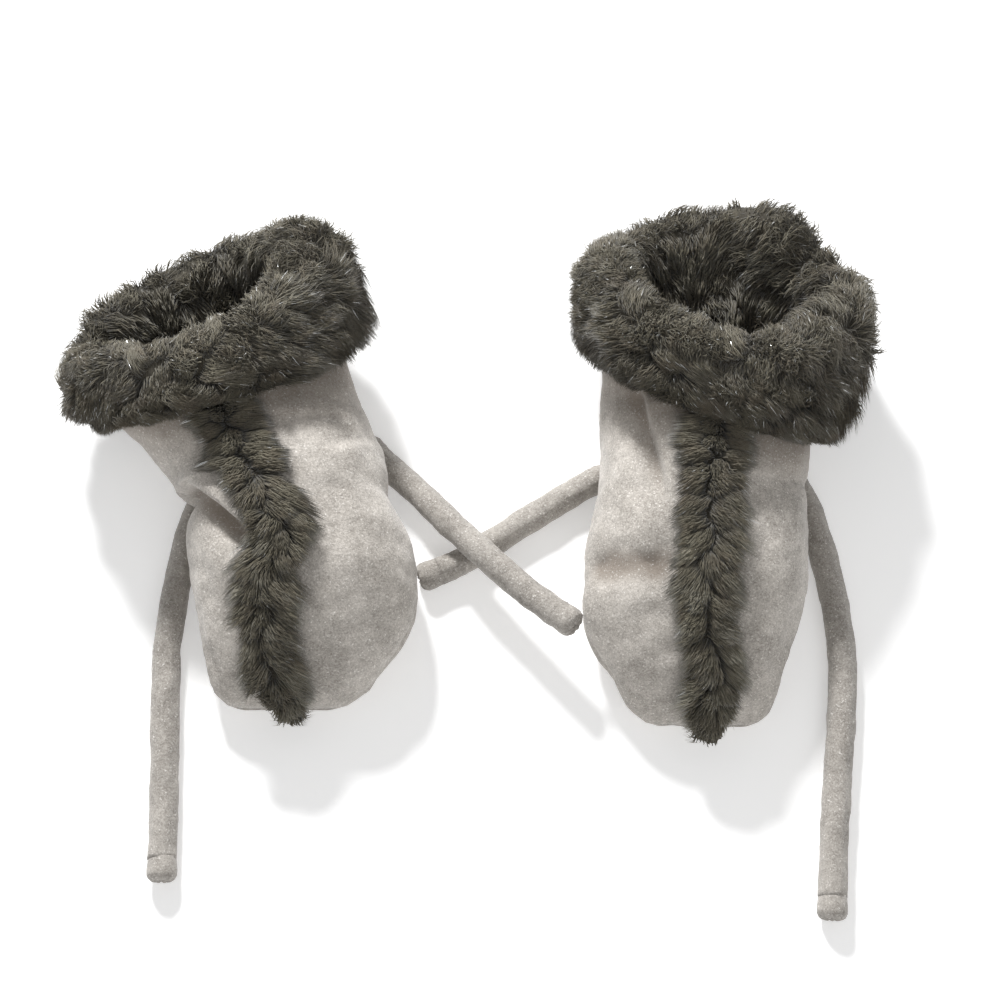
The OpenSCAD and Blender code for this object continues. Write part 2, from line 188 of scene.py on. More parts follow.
@dataclass
class Mitt:
    """One mitt's own sizes and the skin that all its layers follow. Its angles are in degrees."""

    side: str
    wrist_x: float
    # Length of the hand in the solids, before the sewn tip draws it in
    plain_length: float
    wrist_width: float
    mouth_depth: float
    # Power of the widening from wrist to rim
    flare: float
    # How far the mouth is turned and the gauntlet leans sideways
    yaw: float
    lean: float
    # Sideways bow of the hand and sinking of the gauntlet
    bow: float
    sag: float
    # Drop of the cuff's lower edge, and rise of its fold at an angle from the outer edge
    drop: float
    rise: float
    rise_side: float
    # How far the lip hangs back, most at an angle from the outer edge
    slump: float
    slump_side: float
    # How far the tip's two sides are drawn in
    outer_taper: float
    inner_taper: float
    # Hills of the rim: how far it hangs back and out, at which angle, and how wide
    rim: list
    # Share of the length, then the strip's place beside the middle in millimetres
    strip_line: list
    # Start beside the centre line and along the mitt, end, width, depth and share of the hill,
    # -1 for an even dent
    creases: list

    def __post_init__(self):
        self.body = self.node("mitt")
        self.outer = -1 if self.side == "left" else 1
        self.place = np.array([self.wrist_x, WRIST_Y, 0]) + FOOTPRINT_SHIFT
        self.hand_length = self.plain_length - TIP_PUFF
        self.swelling = None
        wrist_heights = (WRIST_SEAM, WRIST_TOP, UNDER_WRIST)
        wrist = (0, self.wrist_width / HAND_WIDTH, *(z / HAND_HEIGHT for z in wrist_heights))
        self.table = [*HAND_FORM, wrist]

    def node(self, piece):
        return f"{self.side}_{piece}"

    def heading(self, g):
        """Where the gauntlet's spine points at the share g from wrist to rim."""
        pitch = np.radians(RIM_PITCH * g**1.3)
        lean = np.radians(self.lean * g**0.25 * (1 - 0.5 * g * g))
        return direction(lean, pitch)

    def station(self, t, off):
        """Centre, sideways and upward directions, half width, rise and fall of the sections at t."""
        t, off = alike(t, off)
        f = np.clip(t / self.hand_length, -1, 0)
        past_tip = np.minimum(t + self.hand_length, 0)
        seam = smooth_table(self.table, f, 2) * HAND_HEIGHT
        hand_x = self.bow * np.sin(np.radians(-180 * f * 0.9))
        hand = np.stack([hand_x, f * (self.hand_length - off) + past_tip, seam + past_tip * 0.25], -1)
        g = np.clip(t / GAUNTLET_LENGTH, 0, 1)
        past_rim = np.maximum(t - GAUNTLET_LENGTH, 0)
        spine = sum(self.heading(g * (k + 0.5) / SPINE_STEPS) for k in range(SPINE_STEPS)) / SPINE_STEPS
        pitch = np.radians(RIM_PITCH * g**1.3)
        yaw = np.radians(self.yaw * g**0.5)
        ahead = direction(yaw, pitch)
        rise_z = np.stack([0 * g, 0 * g, WRIST_SEAM - self.sag * g * g], -1)
        gauntlet = spine * (g * GAUNTLET_LENGTH)[..., None] + rise_z + ahead * past_rim[..., None]
        in_hand = t < 0
        pick = in_hand[..., None]
        centre = np.where(pick, hand, gauntlet)
        side = np.stack([np.cos(yaw), np.sin(yaw), 0 * yaw], -1)
        up = np.stack([np.sin(yaw) * np.sin(pitch), -np.cos(yaw) * np.sin(pitch), np.cos(pitch)], -1)
        half = np.where(
            in_hand,
            smooth_table(self.table, f, 1) * HAND_WIDTH / 2,
            mix(self.wrist_width, MOUTH_WIDTH, g**self.flare) / 2,
        )
        rise = np.where(
            in_hand,
            smooth_table(self.table, f, 3) * HAND_HEIGHT - seam,
            mix(WRIST_TOP - WRIST_SEAM, self.mouth_depth / 2, g**1.2),
        )
        fall = np.where(
            in_hand,
            seam - smooth_table(self.table, f, 4) * HAND_HEIGHT,
            mix(WRIST_SEAM - UNDER_WRIST, self.mouth_depth / 2, g**2.25),
        )
        slide = ahead * (np.sin(np.radians(90 * g)) * ~in_hand)[..., None]
        return centre, side, up, half, rise, fall, slide

    def skin(self, t, v, off, floor=0.0):
        """Points at station t and angle v in degrees, off below the outside."""
        t, v, off = alike(t, v, off)
        centre, side, up, half, rise, fall, slide = self.station(t, off)
        angle = np.radians(v)
        back = np.mod(v, 360) <= 180
        power = np.where(back, BACK_POWER, PALM_POWER)
        cosine, sine = np.cos(angle), np.sin(angle)
        across = (half - off) * np.sign(cosine) * np.abs(cosine) ** (2 / power)
        tall = np.maximum(np.where(back, rise, fall) - off, 0.25 * MM)
        height = tall * np.abs(sine) ** (2 / power) + SEAM_GAP
        inner, outer = np.clip(-self.outer * cosine, 0, 1), np.clip(self.outer * cosine, 0, 1)
        share = t / self.hand_length
        across = across + self.outer * self.inner_taper * inner * bump(share, *INNER_TAPER_AT)
        across = across - self.outer * self.outer_taper * outer * bump(share, *OUTER_TAPER_AT)
        back_by, out_by = self.rim_hang(v, smooth_step(HANG_START, GAUNTLET_LENGTH, t))
        across = across + out_by * cosine
        slump = self.slump * self.share_towards(v, self.slump_side) ** 2 + back_by
        raised = np.where(back, height, -height)
        point = self.place + centre + side * across[..., None] + up * raised[..., None]
        point = point - slide * slump[..., None]
        point[..., 2] = np.maximum(point[..., 2], np.maximum(off, floor))
        return point

    def angle_at(self, t, s, off):
        """Angle of the back's point that lies s beside the centre line."""
        half = self.station(t, off)[3] - off
        share = np.minimum(np.abs(s) / half, 0.97)
        return np.degrees(np.arccos(np.sign(s) * share ** (BACK_POWER / 2)))

    def strip_at(self, t):
        key = np.where(t < 0, np.maximum(t / self.hand_length, -1), np.minimum(t / GAUNTLET_LENGTH, 1))
        return smooth_table(self.strip_line, key, 1) * MM

    def relief(self, t, v):
        """How far the suede stands out: soft puffing, the edge seam, creases and dents."""
        t = np.maximum(t, -self.hand_length)
        where = self.skin(t, v, 0)
        half, rise, fall = self.station(t, 0.0)[3:6]
        turn = np.mod(v, 360)
        across = half * np.cos(np.radians(v))
        seam = np.where(turn <= 180, rise, fall) * np.abs(np.sin(np.radians(v))) ** 0.85
        free = 1 - smooth_step(*PLAIN_UNDER_CUFF, t)
        depth = sum(high * ripple(where, size, seed) for high, size, seed in PUFFS)
        high, size, seed = EDGE_PUFF
        depth = depth + high * bump(seam, 0, EDGE_PUFF_REACH) * ripple(where, size, seed)
        depth = depth * free - EDGE_SEAM_DEPTH * bump(seam, 0, EDGE_SEAM_WIDTH)
        for s0, t0, s1, t1, width, deep, hill in self.creases:
            along_s, along_t = s1 - s0, t1 - t0
            reach = math.hypot(along_s, along_t)
            run = ((across - s0) * along_s + (t - t0) * along_t) / reach**2
            aside = ((across - s0) * -along_t + (t - t0) * along_s) / reach
            ends = smooth_step(-0.3, 0.1, run) * (1 - smooth_step(0.7, 1.2, run))
            under = 1 - smooth_step(185, 245, turn) if s0 < 0 else smooth_step(295, 355, turn)
            far = aside / width
            climb = mix(-1, hill, smooth_step(0.0, HILL_AT, far))
            climb = climb * bump(np.maximum(far - HILL_AT, 0), 0, HILL_WIDTH)
            shape = np.where((far < 0) | (hill < 0), -bump(far, 0, 1), climb)
            depth = depth + deep * shape * ends * np.where(turn <= 180, 1, under) * free
        return np.where(where[..., 2] < 1.0 * MM, 0.0, depth)

    def hollow(self, t, v):
        """Share of painted shade: 1 deep in the creases and close under the cuff, where shade falls."""
        edge = GAUNTLET_LENGTH - CUFF_BAND + self.cuff_shift(v, -CUFF_BAND)
        under = smooth_step(edge - PAINTED_SHADE_NEAR_CUFF[0], edge + PAINTED_SHADE_NEAR_CUFF[1], t)
        return np.clip(smooth_step(0.9 * MM, 3.0 * MM, -self.relief(t, v)) + 0.9 * under, 0, 1)

    def swell(self, t, v):
        """How far the padding pushes the suede, read from the cloth's rows and columns."""
        rows, columns = self.swelling.shape[0] - 1, self.swelling.shape[1] - 1
        y = np.clip((t + self.hand_length) / (self.hand_length + GAUNTLET_LENGTH), 0, 1) * rows
        x = np.mod(v, 360) / 360 * columns
        i, j = np.minimum(y.astype(int), rows - 1), np.minimum(x.astype(int), columns - 1)
        a, b = (y - i)[..., None], (x - j)[..., None]
        low = mix(self.swelling[i, j], self.swelling[i, j + 1], b)
        high = mix(self.swelling[i + 1, j], self.swelling[i + 1, j + 1], b)
        return mix(low, high, a)

    def pushed(self, t, v, off):
        """Point of a layer, moved as the padding and the creases move it."""
        t, v, off = alike(t, v, off)
        way = unit(self.skin(t, v, -1 * MM) - self.skin(t, v, 1 * MM))
        point = self.skin(t, v, off) + way * self.relief(t, v)[..., None]
        if self.swelling is not None:
            point = point + self.swell(t, v)
        point[..., 2] = np.maximum(point[..., 2], np.maximum(off, 0))
        return point

    def over_strip(self, s, t, height):
        """Point of the pile strip: s beside its middle, at t along the mitt, height above the suede."""
        s, t, height = np.broadcast_arrays(s, t, height)
        return self.pushed(t, self.angle_at(t, self.strip_at(t) + s, -height), -height)

    def turned(self, v):
        """The angle v as counted from the mitt's outer edge."""
        return v if self.outer > 0 else 180 - v

    def share_towards(self, v, side):
        """1 on the side of the mitt at the angle side from its outer edge, 0 opposite."""
        return (1 + np.cos(np.radians(self.turned(v) - side))) / 2

    def rim_hang(self, v, near):
        """How far the rim hangs back and out at each angle, where near is 1 at the rim."""
        back_by = out_by = 0
        for back, out, side, wide in self.rim:
            hill = near * bump(half_turn(self.turned(v) - side), 0, wide)
            back_by, out_by = back_by + back * hill, out_by + out * hill
        return back_by, out_by

    def cuff_shift(self, v, past):
        """How far the cuff rises at the rim, and drops at its lower edge, past the rim."""
        low = np.clip(-past / CUFF_BAND, 0, 1)
        rise = self.rise * self.share_towards(v, self.rise_side) ** 2
        return mix(rise, -self.drop * self.share_towards(v, DROP_SIDE) ** 2, low)


LEFT = Mitt(
    side="left",
    wrist_x=-52 * MM,
    plain_length=59 * MM,
    wrist_width=54 * MM,
    mouth_depth=44 * MM,
    flare=0.7,
    yaw=25,
    lean=43,
    bow=5.5 * MM,
    sag=3.8 * MM,
    drop=1 * MM,
    rise=6 * MM,
    rise_side=180,
    slump=5 * MM,
    slump_side=115,
    outer_taper=1 * MM,
    inner_taper=4.5 * MM,
    rim=[(-3 * MM, 4 * MM, 174, 19), (3 * MM, 0, 220, 18), (6.5 * MM, 2.5 * MM, -18, 22)],
    strip_line=[(-1, 0.5), (-0.8, -7), (-0.5, -9.5), (-0.25, -3.5), (0, -8), (0.5, -5), (1, -2)],
    creases=[
        (-27 * MM, 1 * MM, -10 * MM, -19 * MM, 5.2 * MM, 3.9 * MM, 0.85),
        (27 * MM, 12 * MM, 12 * MM, 8 * MM, 5.0 * MM, 0.8 * MM, 0.5),
        (-4 * MM, 27 * MM, 20 * MM, 18 * MM, 7.0 * MM, 0.9 * MM, 0.7),
    ],
)
RIGHT = Mitt(
    side="right",
    wrist_x=61 * MM,
    plain_length=64 * MM,
    wrist_width=57 * MM,
    mouth_depth=54 * MM,
    flare=1.5,
    yaw=-16,
    lean=-9,
    bow=-2.5 * MM,
    sag=2.6 * MM,
    drop=17 * MM,
    rise=9 * MM,
    rise_side=-50,
    slump=7.5 * MM,
    slump_side=58,
    outer_taper=4 * MM,
    inner_taper=4.5 * MM,
    rim=[(-5 * MM, 0, -80, 17), (5.5 * MM, 0, -35, 18), (0, 2 * MM, 0, 18), (4 * MM, 0, 208, 28)],
    strip_line=[(-1, 1), (-0.8, 3.5), (-0.5, 1.5), (-0.25, 2.5), (0, 1.5), (0.5, 2.5), (1, 2)],
    creases=[
        (26 * MM, 6 * MM, 13 * MM, -11 * MM, 5.5 * MM, 1.3 * MM, -1),
        (-28 * MM, -23 * MM, -6 * MM, -26 * MM, 5.4 * MM, 3.2 * MM, -1),
        (-19 * MM, 26 * MM, -10 * MM, -8 * MM, 6.5 * MM, 2.0 * MM, 0.7),
    ],
)
MITTS = (LEFT, RIGHT)

# Routes of the ties from the tack outwards, before the footprint's shift, in millimetres
TIE_ROUTES = {
    "left_tie_outer": [
        (-59.4, 10.4, 4), (-67, 8.2, 4), (-73, 4.6, 4), (-77.6, -1, 4), (-80.4, -9, 4), (-82.2, -18, 4),
        (-84, -30, 4), (-85, -43, 4), (-84.8, -56, 4), (-84.4, -68, 4), (-83.7, -84, 4),
        (-83.3, -100.5, 4),
    ],
    "left_tie_inner": [
        (-50.6, 13.6, 4), (-44.5, 16.6, 4), (-38, 18.6, 4), (-32, 16.8, 4), (-26.7, 11.6, 4.3),
        (-21, 6.2, 5.2), (-14.6, -0.4, 6.8), (-8, -8.2, 9.7), (-1, -15.8, 12.6), (6, -22.8, 13.8),
        (14, -30.4, 15.2), (22, -37, 17.4),
    ],
    "right_tie_inner": [
        (55.3, 7.5, 4), (46, 7.8, 4), (39, 8, 4), (33.3, 6.6, 4), (22.8, 0.3, 4), (9.6, -8.2, 4),
        (1, -14, 4), (-6, -18.3, 4), (-11, -20.5, 4),
    ],
    "right_tie_outer": [
        (64.7, 7.5, 4), (73, 9, 4), (81, 9.4, 4), (87.4, 6.4, 4), (91.4, 0, 4), (94, -8, 4),
        (96.6, -20, 4), (98.7, -33, 4), (99.4, -47, 4), (98.4, -62, 4), (96.6, -77, 4),
        (94.9, -92, 4), (93.4, -110.5, 4),
    ],
}


# ---------------------------------------------------------------------------
# Sizes and colours that a user would change
# ---------------------------------------------------------------------------


def colour(name, text, value):
    look = {"size": 3, "subtype": "COLOR", "min": 0, "max": 1}
    return FloatVectorProperty(name=name, description=text, default=value, **look)


def length(name, text, value):
    unit = {"unit": "LENGTH", "subtype": "DISTANCE", "min": 0}
    return FloatProperty(name=name, description=text, default=value, **unit)


def number(name, text, value, most):
    return IntProperty(name=name, description=text, default=value, min=500, max=most)


class MittsSuedeSettings(PropertyGroup):
    nap: colour("Nap", "Colour of the lit nap", (0.70, 0.657, 0.605))
    shade: colour("Shade", "Colour of the nap brushed the other way", (0.215, 0.194, 0.170))
    glitter: colour("Glitter", "Colour of the glitter in the nap", (0.92, 0.90, 0.87))
    # Painted shade: the colour the nap takes in the creases and under the cuff, where shade falls
    hollow: colour("Hollow", "Colour in the creases and under the cuff", (0.215, 0.175, 0.140))
    grain: length("Grain", "Size of one fleck of the nap", 0.30 * MM)


class MittsPileSettings(PropertyGroup):
    root: colour("Root", "Colour deep in the pile", (0.026, 0.023, 0.018))
    middle: colour("Middle", "Colour along the fibres", (0.128, 0.114, 0.080))
    tip: colour("Tip", "Colour of the fibre tips", (0.285, 0.263, 0.198))
    cuff_pile: length("Cuff pile", "Thickness of the pile outside the cuff", 10.5 * MM)
    rim_pile: length("Rim pile", "Height of the pile above the rim", 6.5 * MM)
    mouth_pile: length("Mouth pile", "Thickness of the pile in the mouth", 6.5 * MM)
    strip_pile: length("Strip pile", "Thickness of the pile on the back strip", 6.5 * MM)
    fibre: length("Fibre", "Thickness of one lock of fibres", 0.27 * MM)
    locks: number("Locks", "Bent locks in one piece of pile", 9800, 18000)
    underfur: number("Underfur", "Short straight fibres in one piece", 15000, 45000)


class MittsTieSettings(PropertyGroup):
    diameter: length("Diameter", "Diameter of the stuffed tie", 8 * MM)
    end_length: length("End length", "Length of the gathered end", 6 * MM)


class MittsStageSettings(PropertyGroup):
    floor: colour("Floor", "Colour of the floor", (0.93, 0.93, 0.93))
    lens: FloatProperty(name="Lens", description="Focal length in millimetres", default=77.0, min=10)
    distance: length("Distance", "Distance of the camera from its target", 0.6)
    elevation: FloatProperty(
        name="Elevation",
        description="Height angle of the camera",
        default=math.radians(70),
        subtype="ANGLE",
    )


# ---------------------------------------------------------------------------
# Materials
# ---------------------------------------------------------------------------


def sum_with(operation, turned=False):
    """An operator of a socket with a socket or a number, turned round for the reflected form."""

    def added(self, other):
        pair = (other, self) if turned else (self, other)
        return self.finish.node("ShaderNodeMath", {"operation": operation}, dict(enumerate(pair)))

    return added


class Value:
    """A number socket of a material, usable in Python sums."""

    def __init__(self, finish, socket):
        self.finish = finish
        self.socket = socket

    __add__ = __radd__ = sum_with("ADD")
    __mul__ = __rmul__ = sum_with("MULTIPLY")
    __sub__ = sum_with("SUBTRACT")
    __rsub__ = sum_with("SUBTRACT", turned=True)

    def clipped(self):
        return self.finish.node("ShaderNodeClamp", {}, {"Value": self})

    def between(self, low, high):
        """0 below low and 1 above high."""
        limits = {"Value": self, "From Min": low, "From Max": high}
        return self.finish.node("ShaderNodeMapRange", {"interpolation_type": "SMOOTHSTEP"}, limits)

    def ranging(self, low, high):
        """low where this is 0 and high where it is 1."""
        limits = {"Value": self, "To Min": low, "To Max": high}
        return self.finish.node("ShaderNodeMapRange", {}, limits)


class Finish:
    """A material and the nodes that make its look."""

    def __init__(self, name):
        self.material = bpy.data.materials.new(name)
        self.material.use_nodes = True
        self.tree = self.material.node_tree
        self.shader = self.tree.nodes["Principled BSDF"]

    def node(self, kind, settings, sockets, output=0):
        """Adds a node, with its settings first and then its sockets, and gives one of its outputs."""
        made = self.tree.nodes.new(kind)
        for name, value in settings.items():
            if name == "stops":
                self.set_stops(made.color_ramp, value)
            else:
                setattr(made, name, value)
        for name, value in sockets.items():
            self.put(made.inputs[name], value)
        return Value(self, made.outputs[output])

    def set_stops(self, ramp, stops):
        while len(ramp.elements) < len(stops):
            ramp.elements.new(0.5)
        for element, (position, shade) in zip(ramp.elements, stops):
            element.position = position
            element.color = (*shade, 1)

    def put(self, socket, value):
        if isinstance(value, Value):
            self.tree.links.new(value.socket, socket)
        elif hasattr(value, "__len__") and len(value) == 3 and socket.type == "RGBA":
            socket.default_value = (*value, 1)
        else:
            socket.default_value = value

    def place(self):
        return self.node("ShaderNodeTexCoord", {}, {}, "Object")

    def noise(self, size, detail=2.0, where=None, roughness=0.5):
        look = {"Scale": 1 / size, "Detail": detail, "Roughness": roughness}
        return self.node("ShaderNodeTexNoise", {}, {"Vector": where or self.place(), **look}, "Fac")

    def cells(self, size, output):
        look = {"Vector": self.place(), "Scale": 1 / size}
        return self.node("ShaderNodeTexVoronoi", {}, look, output)

    def attribute(self, name, output="Fac"):
        return self.node("ShaderNodeAttribute", {"attribute_name": name}, {}, output)

    def blend(self, share, first, second):
        made = self.tree.nodes.new("ShaderNodeMix")
        made.data_type = "RGBA"
        self.put(made.inputs[0], share)
        self.put(made.inputs[6], first)
        self.put(made.inputs[7], second)
        return Value(self, made.outputs[2])

    def bump(self, height, distance, strength=1.0):
        relief = {"Height": height, "Distance": distance, "Strength": strength}
        return self.node("ShaderNodeBump", {}, relief, "Normal")

    def finish(self, **sockets):
        for name, value in sockets.items():
            self.put(self.shader.inputs[name.replace("_", " ")], value)
        return self.material


WARM_FIBRE = (0.150, 0.118, 0.082)
COOL_FIBRE = (0.270, 0.275, 0.268)
SILVER_FIBRE = (0.86, 0.87, 0.86)
WADDING_COLOURS = ((0.62, 0.60, 0.55), (0.86, 0.85, 0.81))


def toned(colour, depth):
    return tuple(c * depth for c in colour)


def between_colours(first, second, share):
    return tuple(mix(a, b, share) for a, b in zip(first, second))


def suede_finish(name, settings, depth=1.0):
    """Glitter suede: a short brushed nap, soft patches, pale flecks and a few bright grains."""
    f = Finish(name)
    cells = f.cells(settings.grain, "Color")
    fleck = f.node("ShaderNodeSeparateColor", {}, {"Color": cells}, "Red")
    nap = f.noise(12 * MM, 3.0)
    patch = f.noise(2.6 * MM, 3.0, roughness=0.6)
    brush = f.noise(0.62 * MM, 3.0, roughness=0.75)
    tone = nap.between(0.32, 0.68) * 0.22 + patch.between(0.32, 0.68) * 0.18
    tone = tone + brush.between(0.34, 0.66) * 0.24 + fleck * 0.36
    # A depth below 1 darkens the nap and shade colours, making a darker copy of the suede as painted
    # shade
    nap_colour = f.blend(tone, toned(settings.shade, depth), toned(settings.nap, depth))
    # Painted shade: the nap turns towards the painted shade colour deep in creases and under the cuff
    base = f.blend(f.attribute("hollow") * 0.75, nap_colour, settings.hollow)
    grains = fleck.between(0.90, 1.0) * brush.between(0.45, 0.6)
    coloured = f.blend(grains * 0.6, base, settings.glitter)
    return f.finish(
        Base_Color=coloured,
        Roughness=grains.ranging(0.92, 0.45),
        Normal=f.bump(brush + patch * 0.8 + fleck * 0.3, 0.22 * MM, 0.75),
        Sheen_Weight=0.30,
        Sheen_Roughness=0.5,
        Specular_IOR_Level=0.3,
    )


def pile_finish(name, settings):
    """Fibres, dark at the root and pale at the tip, some of them with a silver end."""
    f = Finish(name)
    along = f.attribute("along")
    tone = f.attribute("tone")
    silver = f.attribute("silver") * along.between(0.56, 0.72)
    patch = f.noise(8 * MM, 2.0)
    reach = (along * 0.46 + (tone - 0.42) * 0.50 + (patch - 0.5) * 0.54 + 0.23).clipped()
    stops = [
        (0.0, tuple(settings.root)),
        (0.30, between_colours(settings.root, settings.middle, 0.5)),
        (0.66, tuple(settings.middle)),
        (1.0, tuple(settings.tip)),
    ]
    fibre = f.node("ShaderNodeValToRGB", {"stops": stops}, {"Fac": reach})
    warmth = f.noise(5 * MM, 2.0, roughness=0.4).between(0.45, 0.68)
    warm = f.blend(warmth * along * 0.45, fibre, WARM_FIBRE)
    # The palest fibres turn bluish grey: partly random tone, partly a painted highlight, since the
    # cuff's crest and mouth carry painted light in their tone
    cool = f.blend(tone.between(0.72, 1.10) * along * 0.35, warm, COOL_FIBRE)
    return f.finish(
        Base_Color=f.blend(silver, cool, SILVER_FIBRE),
        Roughness=silver.ranging(0.78, 0.20),
        Metallic=silver * 0.6,
        Sheen_Weight=0.22,
        Sheen_Roughness=0.6,
        Specular_IOR_Level=0.12,
    )


def pelt_finish(name, settings):
    """The dense underfur between the locks, streaked the way the fibres lie, and darker in the gaps
    between tufts as painted shade.
    """
    f = Finish(name)
    flow = f.attribute("flow", "Vector")
    streak = f.noise(1.0, 5.0, where=flow, roughness=0.65)
    patch = f.noise(7 * MM, 2.0)
    tone = streak.between(0.28, 0.74) * 0.8 + (patch - 0.5) * 0.7
    # Painted shade: the pelt darkens in the gaps between tufts
    tone = (tone - f.attribute("gap") * 0.45).clipped()
    low = between_colours(settings.root, settings.middle, 0.18)
    return f.finish(
        Base_Color=f.blend(tone, low, toned(settings.middle, 0.92)),
        Roughness=0.8,
        Normal=f.bump(streak, 0.7 * MM, 1.0),
        Sheen_Weight=0.1,
        Specular_IOR_Level=0.2,
    )


def fleece_finish(name, settings):
    """Short looped pile of the lining, darkened to about a quarter of the pile's colours as painted
    shade deep in the mouth.
    """
    f = Finish(name)
    loops = f.cells(0.9 * MM, "Distance")
    cloud = f.noise(5 * MM, 4.0)
    tone = (loops.between(0.1, 0.8) * 0.6 + cloud * 0.5).clipped()
    return f.finish(
        # Painted shade: the lining's colours are a quarter of the pile's
        Base_Color=f.blend(tone, toned(settings.middle, 0.25), toned(settings.tip, 0.22)),
        Roughness=0.95,
        Normal=f.bump(loops + cloud * 0.6, 0.3 * MM, 0.6),
        Sheen_Weight=0.3,
        Specular_IOR_Level=0.15,
    )


def wadding_finish(name):
    """Pale needled fibre filling."""
    f = Finish(name)
    fibres = f.noise(0.7 * MM, 6.0, roughness=0.75)
    cloud = f.noise(6 * MM, 3.0)
    tone = (fibres * 0.7 + cloud * 0.4).clipped()
    return f.finish(
        Base_Color=f.blend(tone, *WADDING_COLOURS),
        Roughness=0.95,
        Normal=f.bump(fibres, 0.5 * MM, 0.8),
        Specular_IOR_Level=0.15,
    )


_finishes = {}


def material(key, build, *args):
    """Each finish is made once and shared."""
    if key not in _finishes:
        _finishes[key] = build(key, *args)
    return _finishes[key]


# ---------------------------------------------------------------------------
# Modelling helpers
# ---------------------------------------------------------------------------


def only(piece):
    bpy.ops.object.select_all(action="DESELECT")
    piece.select_set(True)
    bpy.context.view_layer.objects.active = piece
    return piece


def edit(piece, *steps):
    """Runs edit-mode operators on the whole piece."""
    only(piece)
    bpy.ops.object.mode_set(mode="EDIT")
    bpy.ops.mesh.select_all(action="SELECT")
    for step, settings in steps:
        step(**settings)
    bpy.ops.object.mode_set(mode="OBJECT")
    return piece


def outwards(piece):
    return edit(piece, (bpy.ops.mesh.normals_make_consistent, {"inside": False}))


def smooth_shaded(piece):
    only(piece)
    bpy.ops.object.shade_smooth()
    return piece


def closed(piece, distance=0.03 * MM, capped=False):
    """Welds a piece where its edges meet, caps its open ends where asked, and turns its faces out."""
    edit(piece, (bpy.ops.mesh.remove_doubles, {"threshold": distance}))
    if capped:
        open_ends = (bpy.ops.mesh.select_non_manifold, {"extend": False})
        edit(piece, open_ends, (bpy.ops.mesh.edge_face_add, {}))
    return outwards(piece)


def linked(name, data):
    """Puts a mesh, a lamp or a camera in the scene."""
    made = bpy.data.objects.new(name, data)
    bpy.context.scene.collection.objects.link(made)
    return made


def points_of(piece):
    co = np.empty(len(piece.data.vertices) * 3)
    piece.data.vertices.foreach_get("co", co)
    return co.reshape(-1, 3)


def set_points(piece, points):
    piece.data.vertices.foreach_set("co", np.asarray(points, float).ravel())
    piece.data.update()


def shaped_grid(name, columns, rows, place):
    """A grid whose points go where place says, from their shares across and along."""
    bpy.ops.object.select_all(action="DESELECT")
    bpy.ops.mesh.primitive_grid_add(x_subdivisions=columns, y_subdivisions=rows, size=1)
    piece = bpy.context.object
    piece.name = name
    piece.data.name = name
    flat = points_of(piece)
    set_points(piece, place(flat[:, 0] + 0.5, flat[:, 1] + 0.5))
    return piece


def thickened(piece, thickness):
    """Gives an open sheet its thickness, inwards."""
    only(piece)
    solidify = piece.modifiers.new("Solidify", "SOLIDIFY")
    solidify.thickness = thickness
    solidify.offset = -1
    bpy.ops.object.modifier_apply(modifier=solidify.name)
    return piece


def dressed(piece, mitt, finish, node=None):
    """Gives a piece its finish and puts it on its mitt, in the place of one of its nodes."""
    piece.data.materials.clear()
    piece.data.materials.append(finish)
    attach(piece, mitt.body)
    if node:
        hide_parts(mitt.node(node))
    return piece


# ---------------------------------------------------------------------------
# Suede panels
# ---------------------------------------------------------------------------

# From the middle of the strip to the seam of a back panel
TAPE_SEAM = TAPE_WIDTH / 2 + 0.2 * MM
PALM_SUEDE = 0.9 * SUEDE
# Faces across and along each panel
BACK_GRID = (56, 132)
PALM_GRID = (72, 110)


def eased(share, edge=0.35):
    """Shares that crowd towards both ends."""
    return share - edge * np.sin(2 * math.pi * share) / (2 * math.pi)


def mitt_share(mitt, along, top=GAUNTLET_LENGTH):
    """Place along a mitt, from its tip up to its rim."""
    return -mitt.hand_length + (mitt.hand_length + top) * along


def facing(piece, way_out):
    """Turns an open sheet's faces along way_out, the way out of the mitt at each face."""
    outwards(piece)
    if sum(p.normal.dot(way_out(p)) * p.area for p in piece.data.polygons) < 0:
        edit(piece, (bpy.ops.mesh.flip_normals, {}))


def suede_panel(piece, mitt, node, thickness, settings):
    """Gives a shaped panel its thickness, its nap and its soft feel."""
    thickened(piece, thickness)
    smooth_shaded(piece)
    dressed(piece, mitt, material("glitter_suede", suede_finish, settings), node)
    return piece


def back_panel(mitt, node, left, settings):
    """Half of the back, from the edge seam up to the strip's tape."""
    hollow = []

    def place(across, along):
        t = mitt_share(mitt, eased(along, 0.2))
        edge = mitt.angle_at(t, mitt.strip_at(t) + (-TAPE_SEAM if left else TAPE_SEAM), 0.0)
        v = mix(180.0 if left else 0.0, edge, eased(across))
        # Keeps the share of painted shade at each point of the panel
        hollow[:] = [mitt.hollow(t, v)]
        return mitt.pushed(t, v, 0)

    piece = shaped_grid(mitt.node(node + "_suede"), *BACK_GRID, place)
    add_attribute(piece.data, "hollow", hollow[0])
    points = piece.data.vertices
    under = sum((p.co for p in points), Vector()) / len(points) - Vector((0, 0, 12 * MM))
    facing(piece, lambda face: face.center - under)
    return suede_panel(piece, mitt, node, SUEDE, settings)


def palm_panel(mitt, settings):
    def place(across, along):
        t = mitt_share(mitt, eased(along, 0.2))
        return mitt.pushed(t, mix(180.0, 360.0, eased(across)), 0)

    piece = shaped_grid(mitt.node("palm_panel_suede"), *PALM_GRID, place)
    facing(piece, lambda face: Vector((0, 0, -1)))
    return suede_panel(piece, mitt, "palm_panel", PALM_SUEDE, settings)


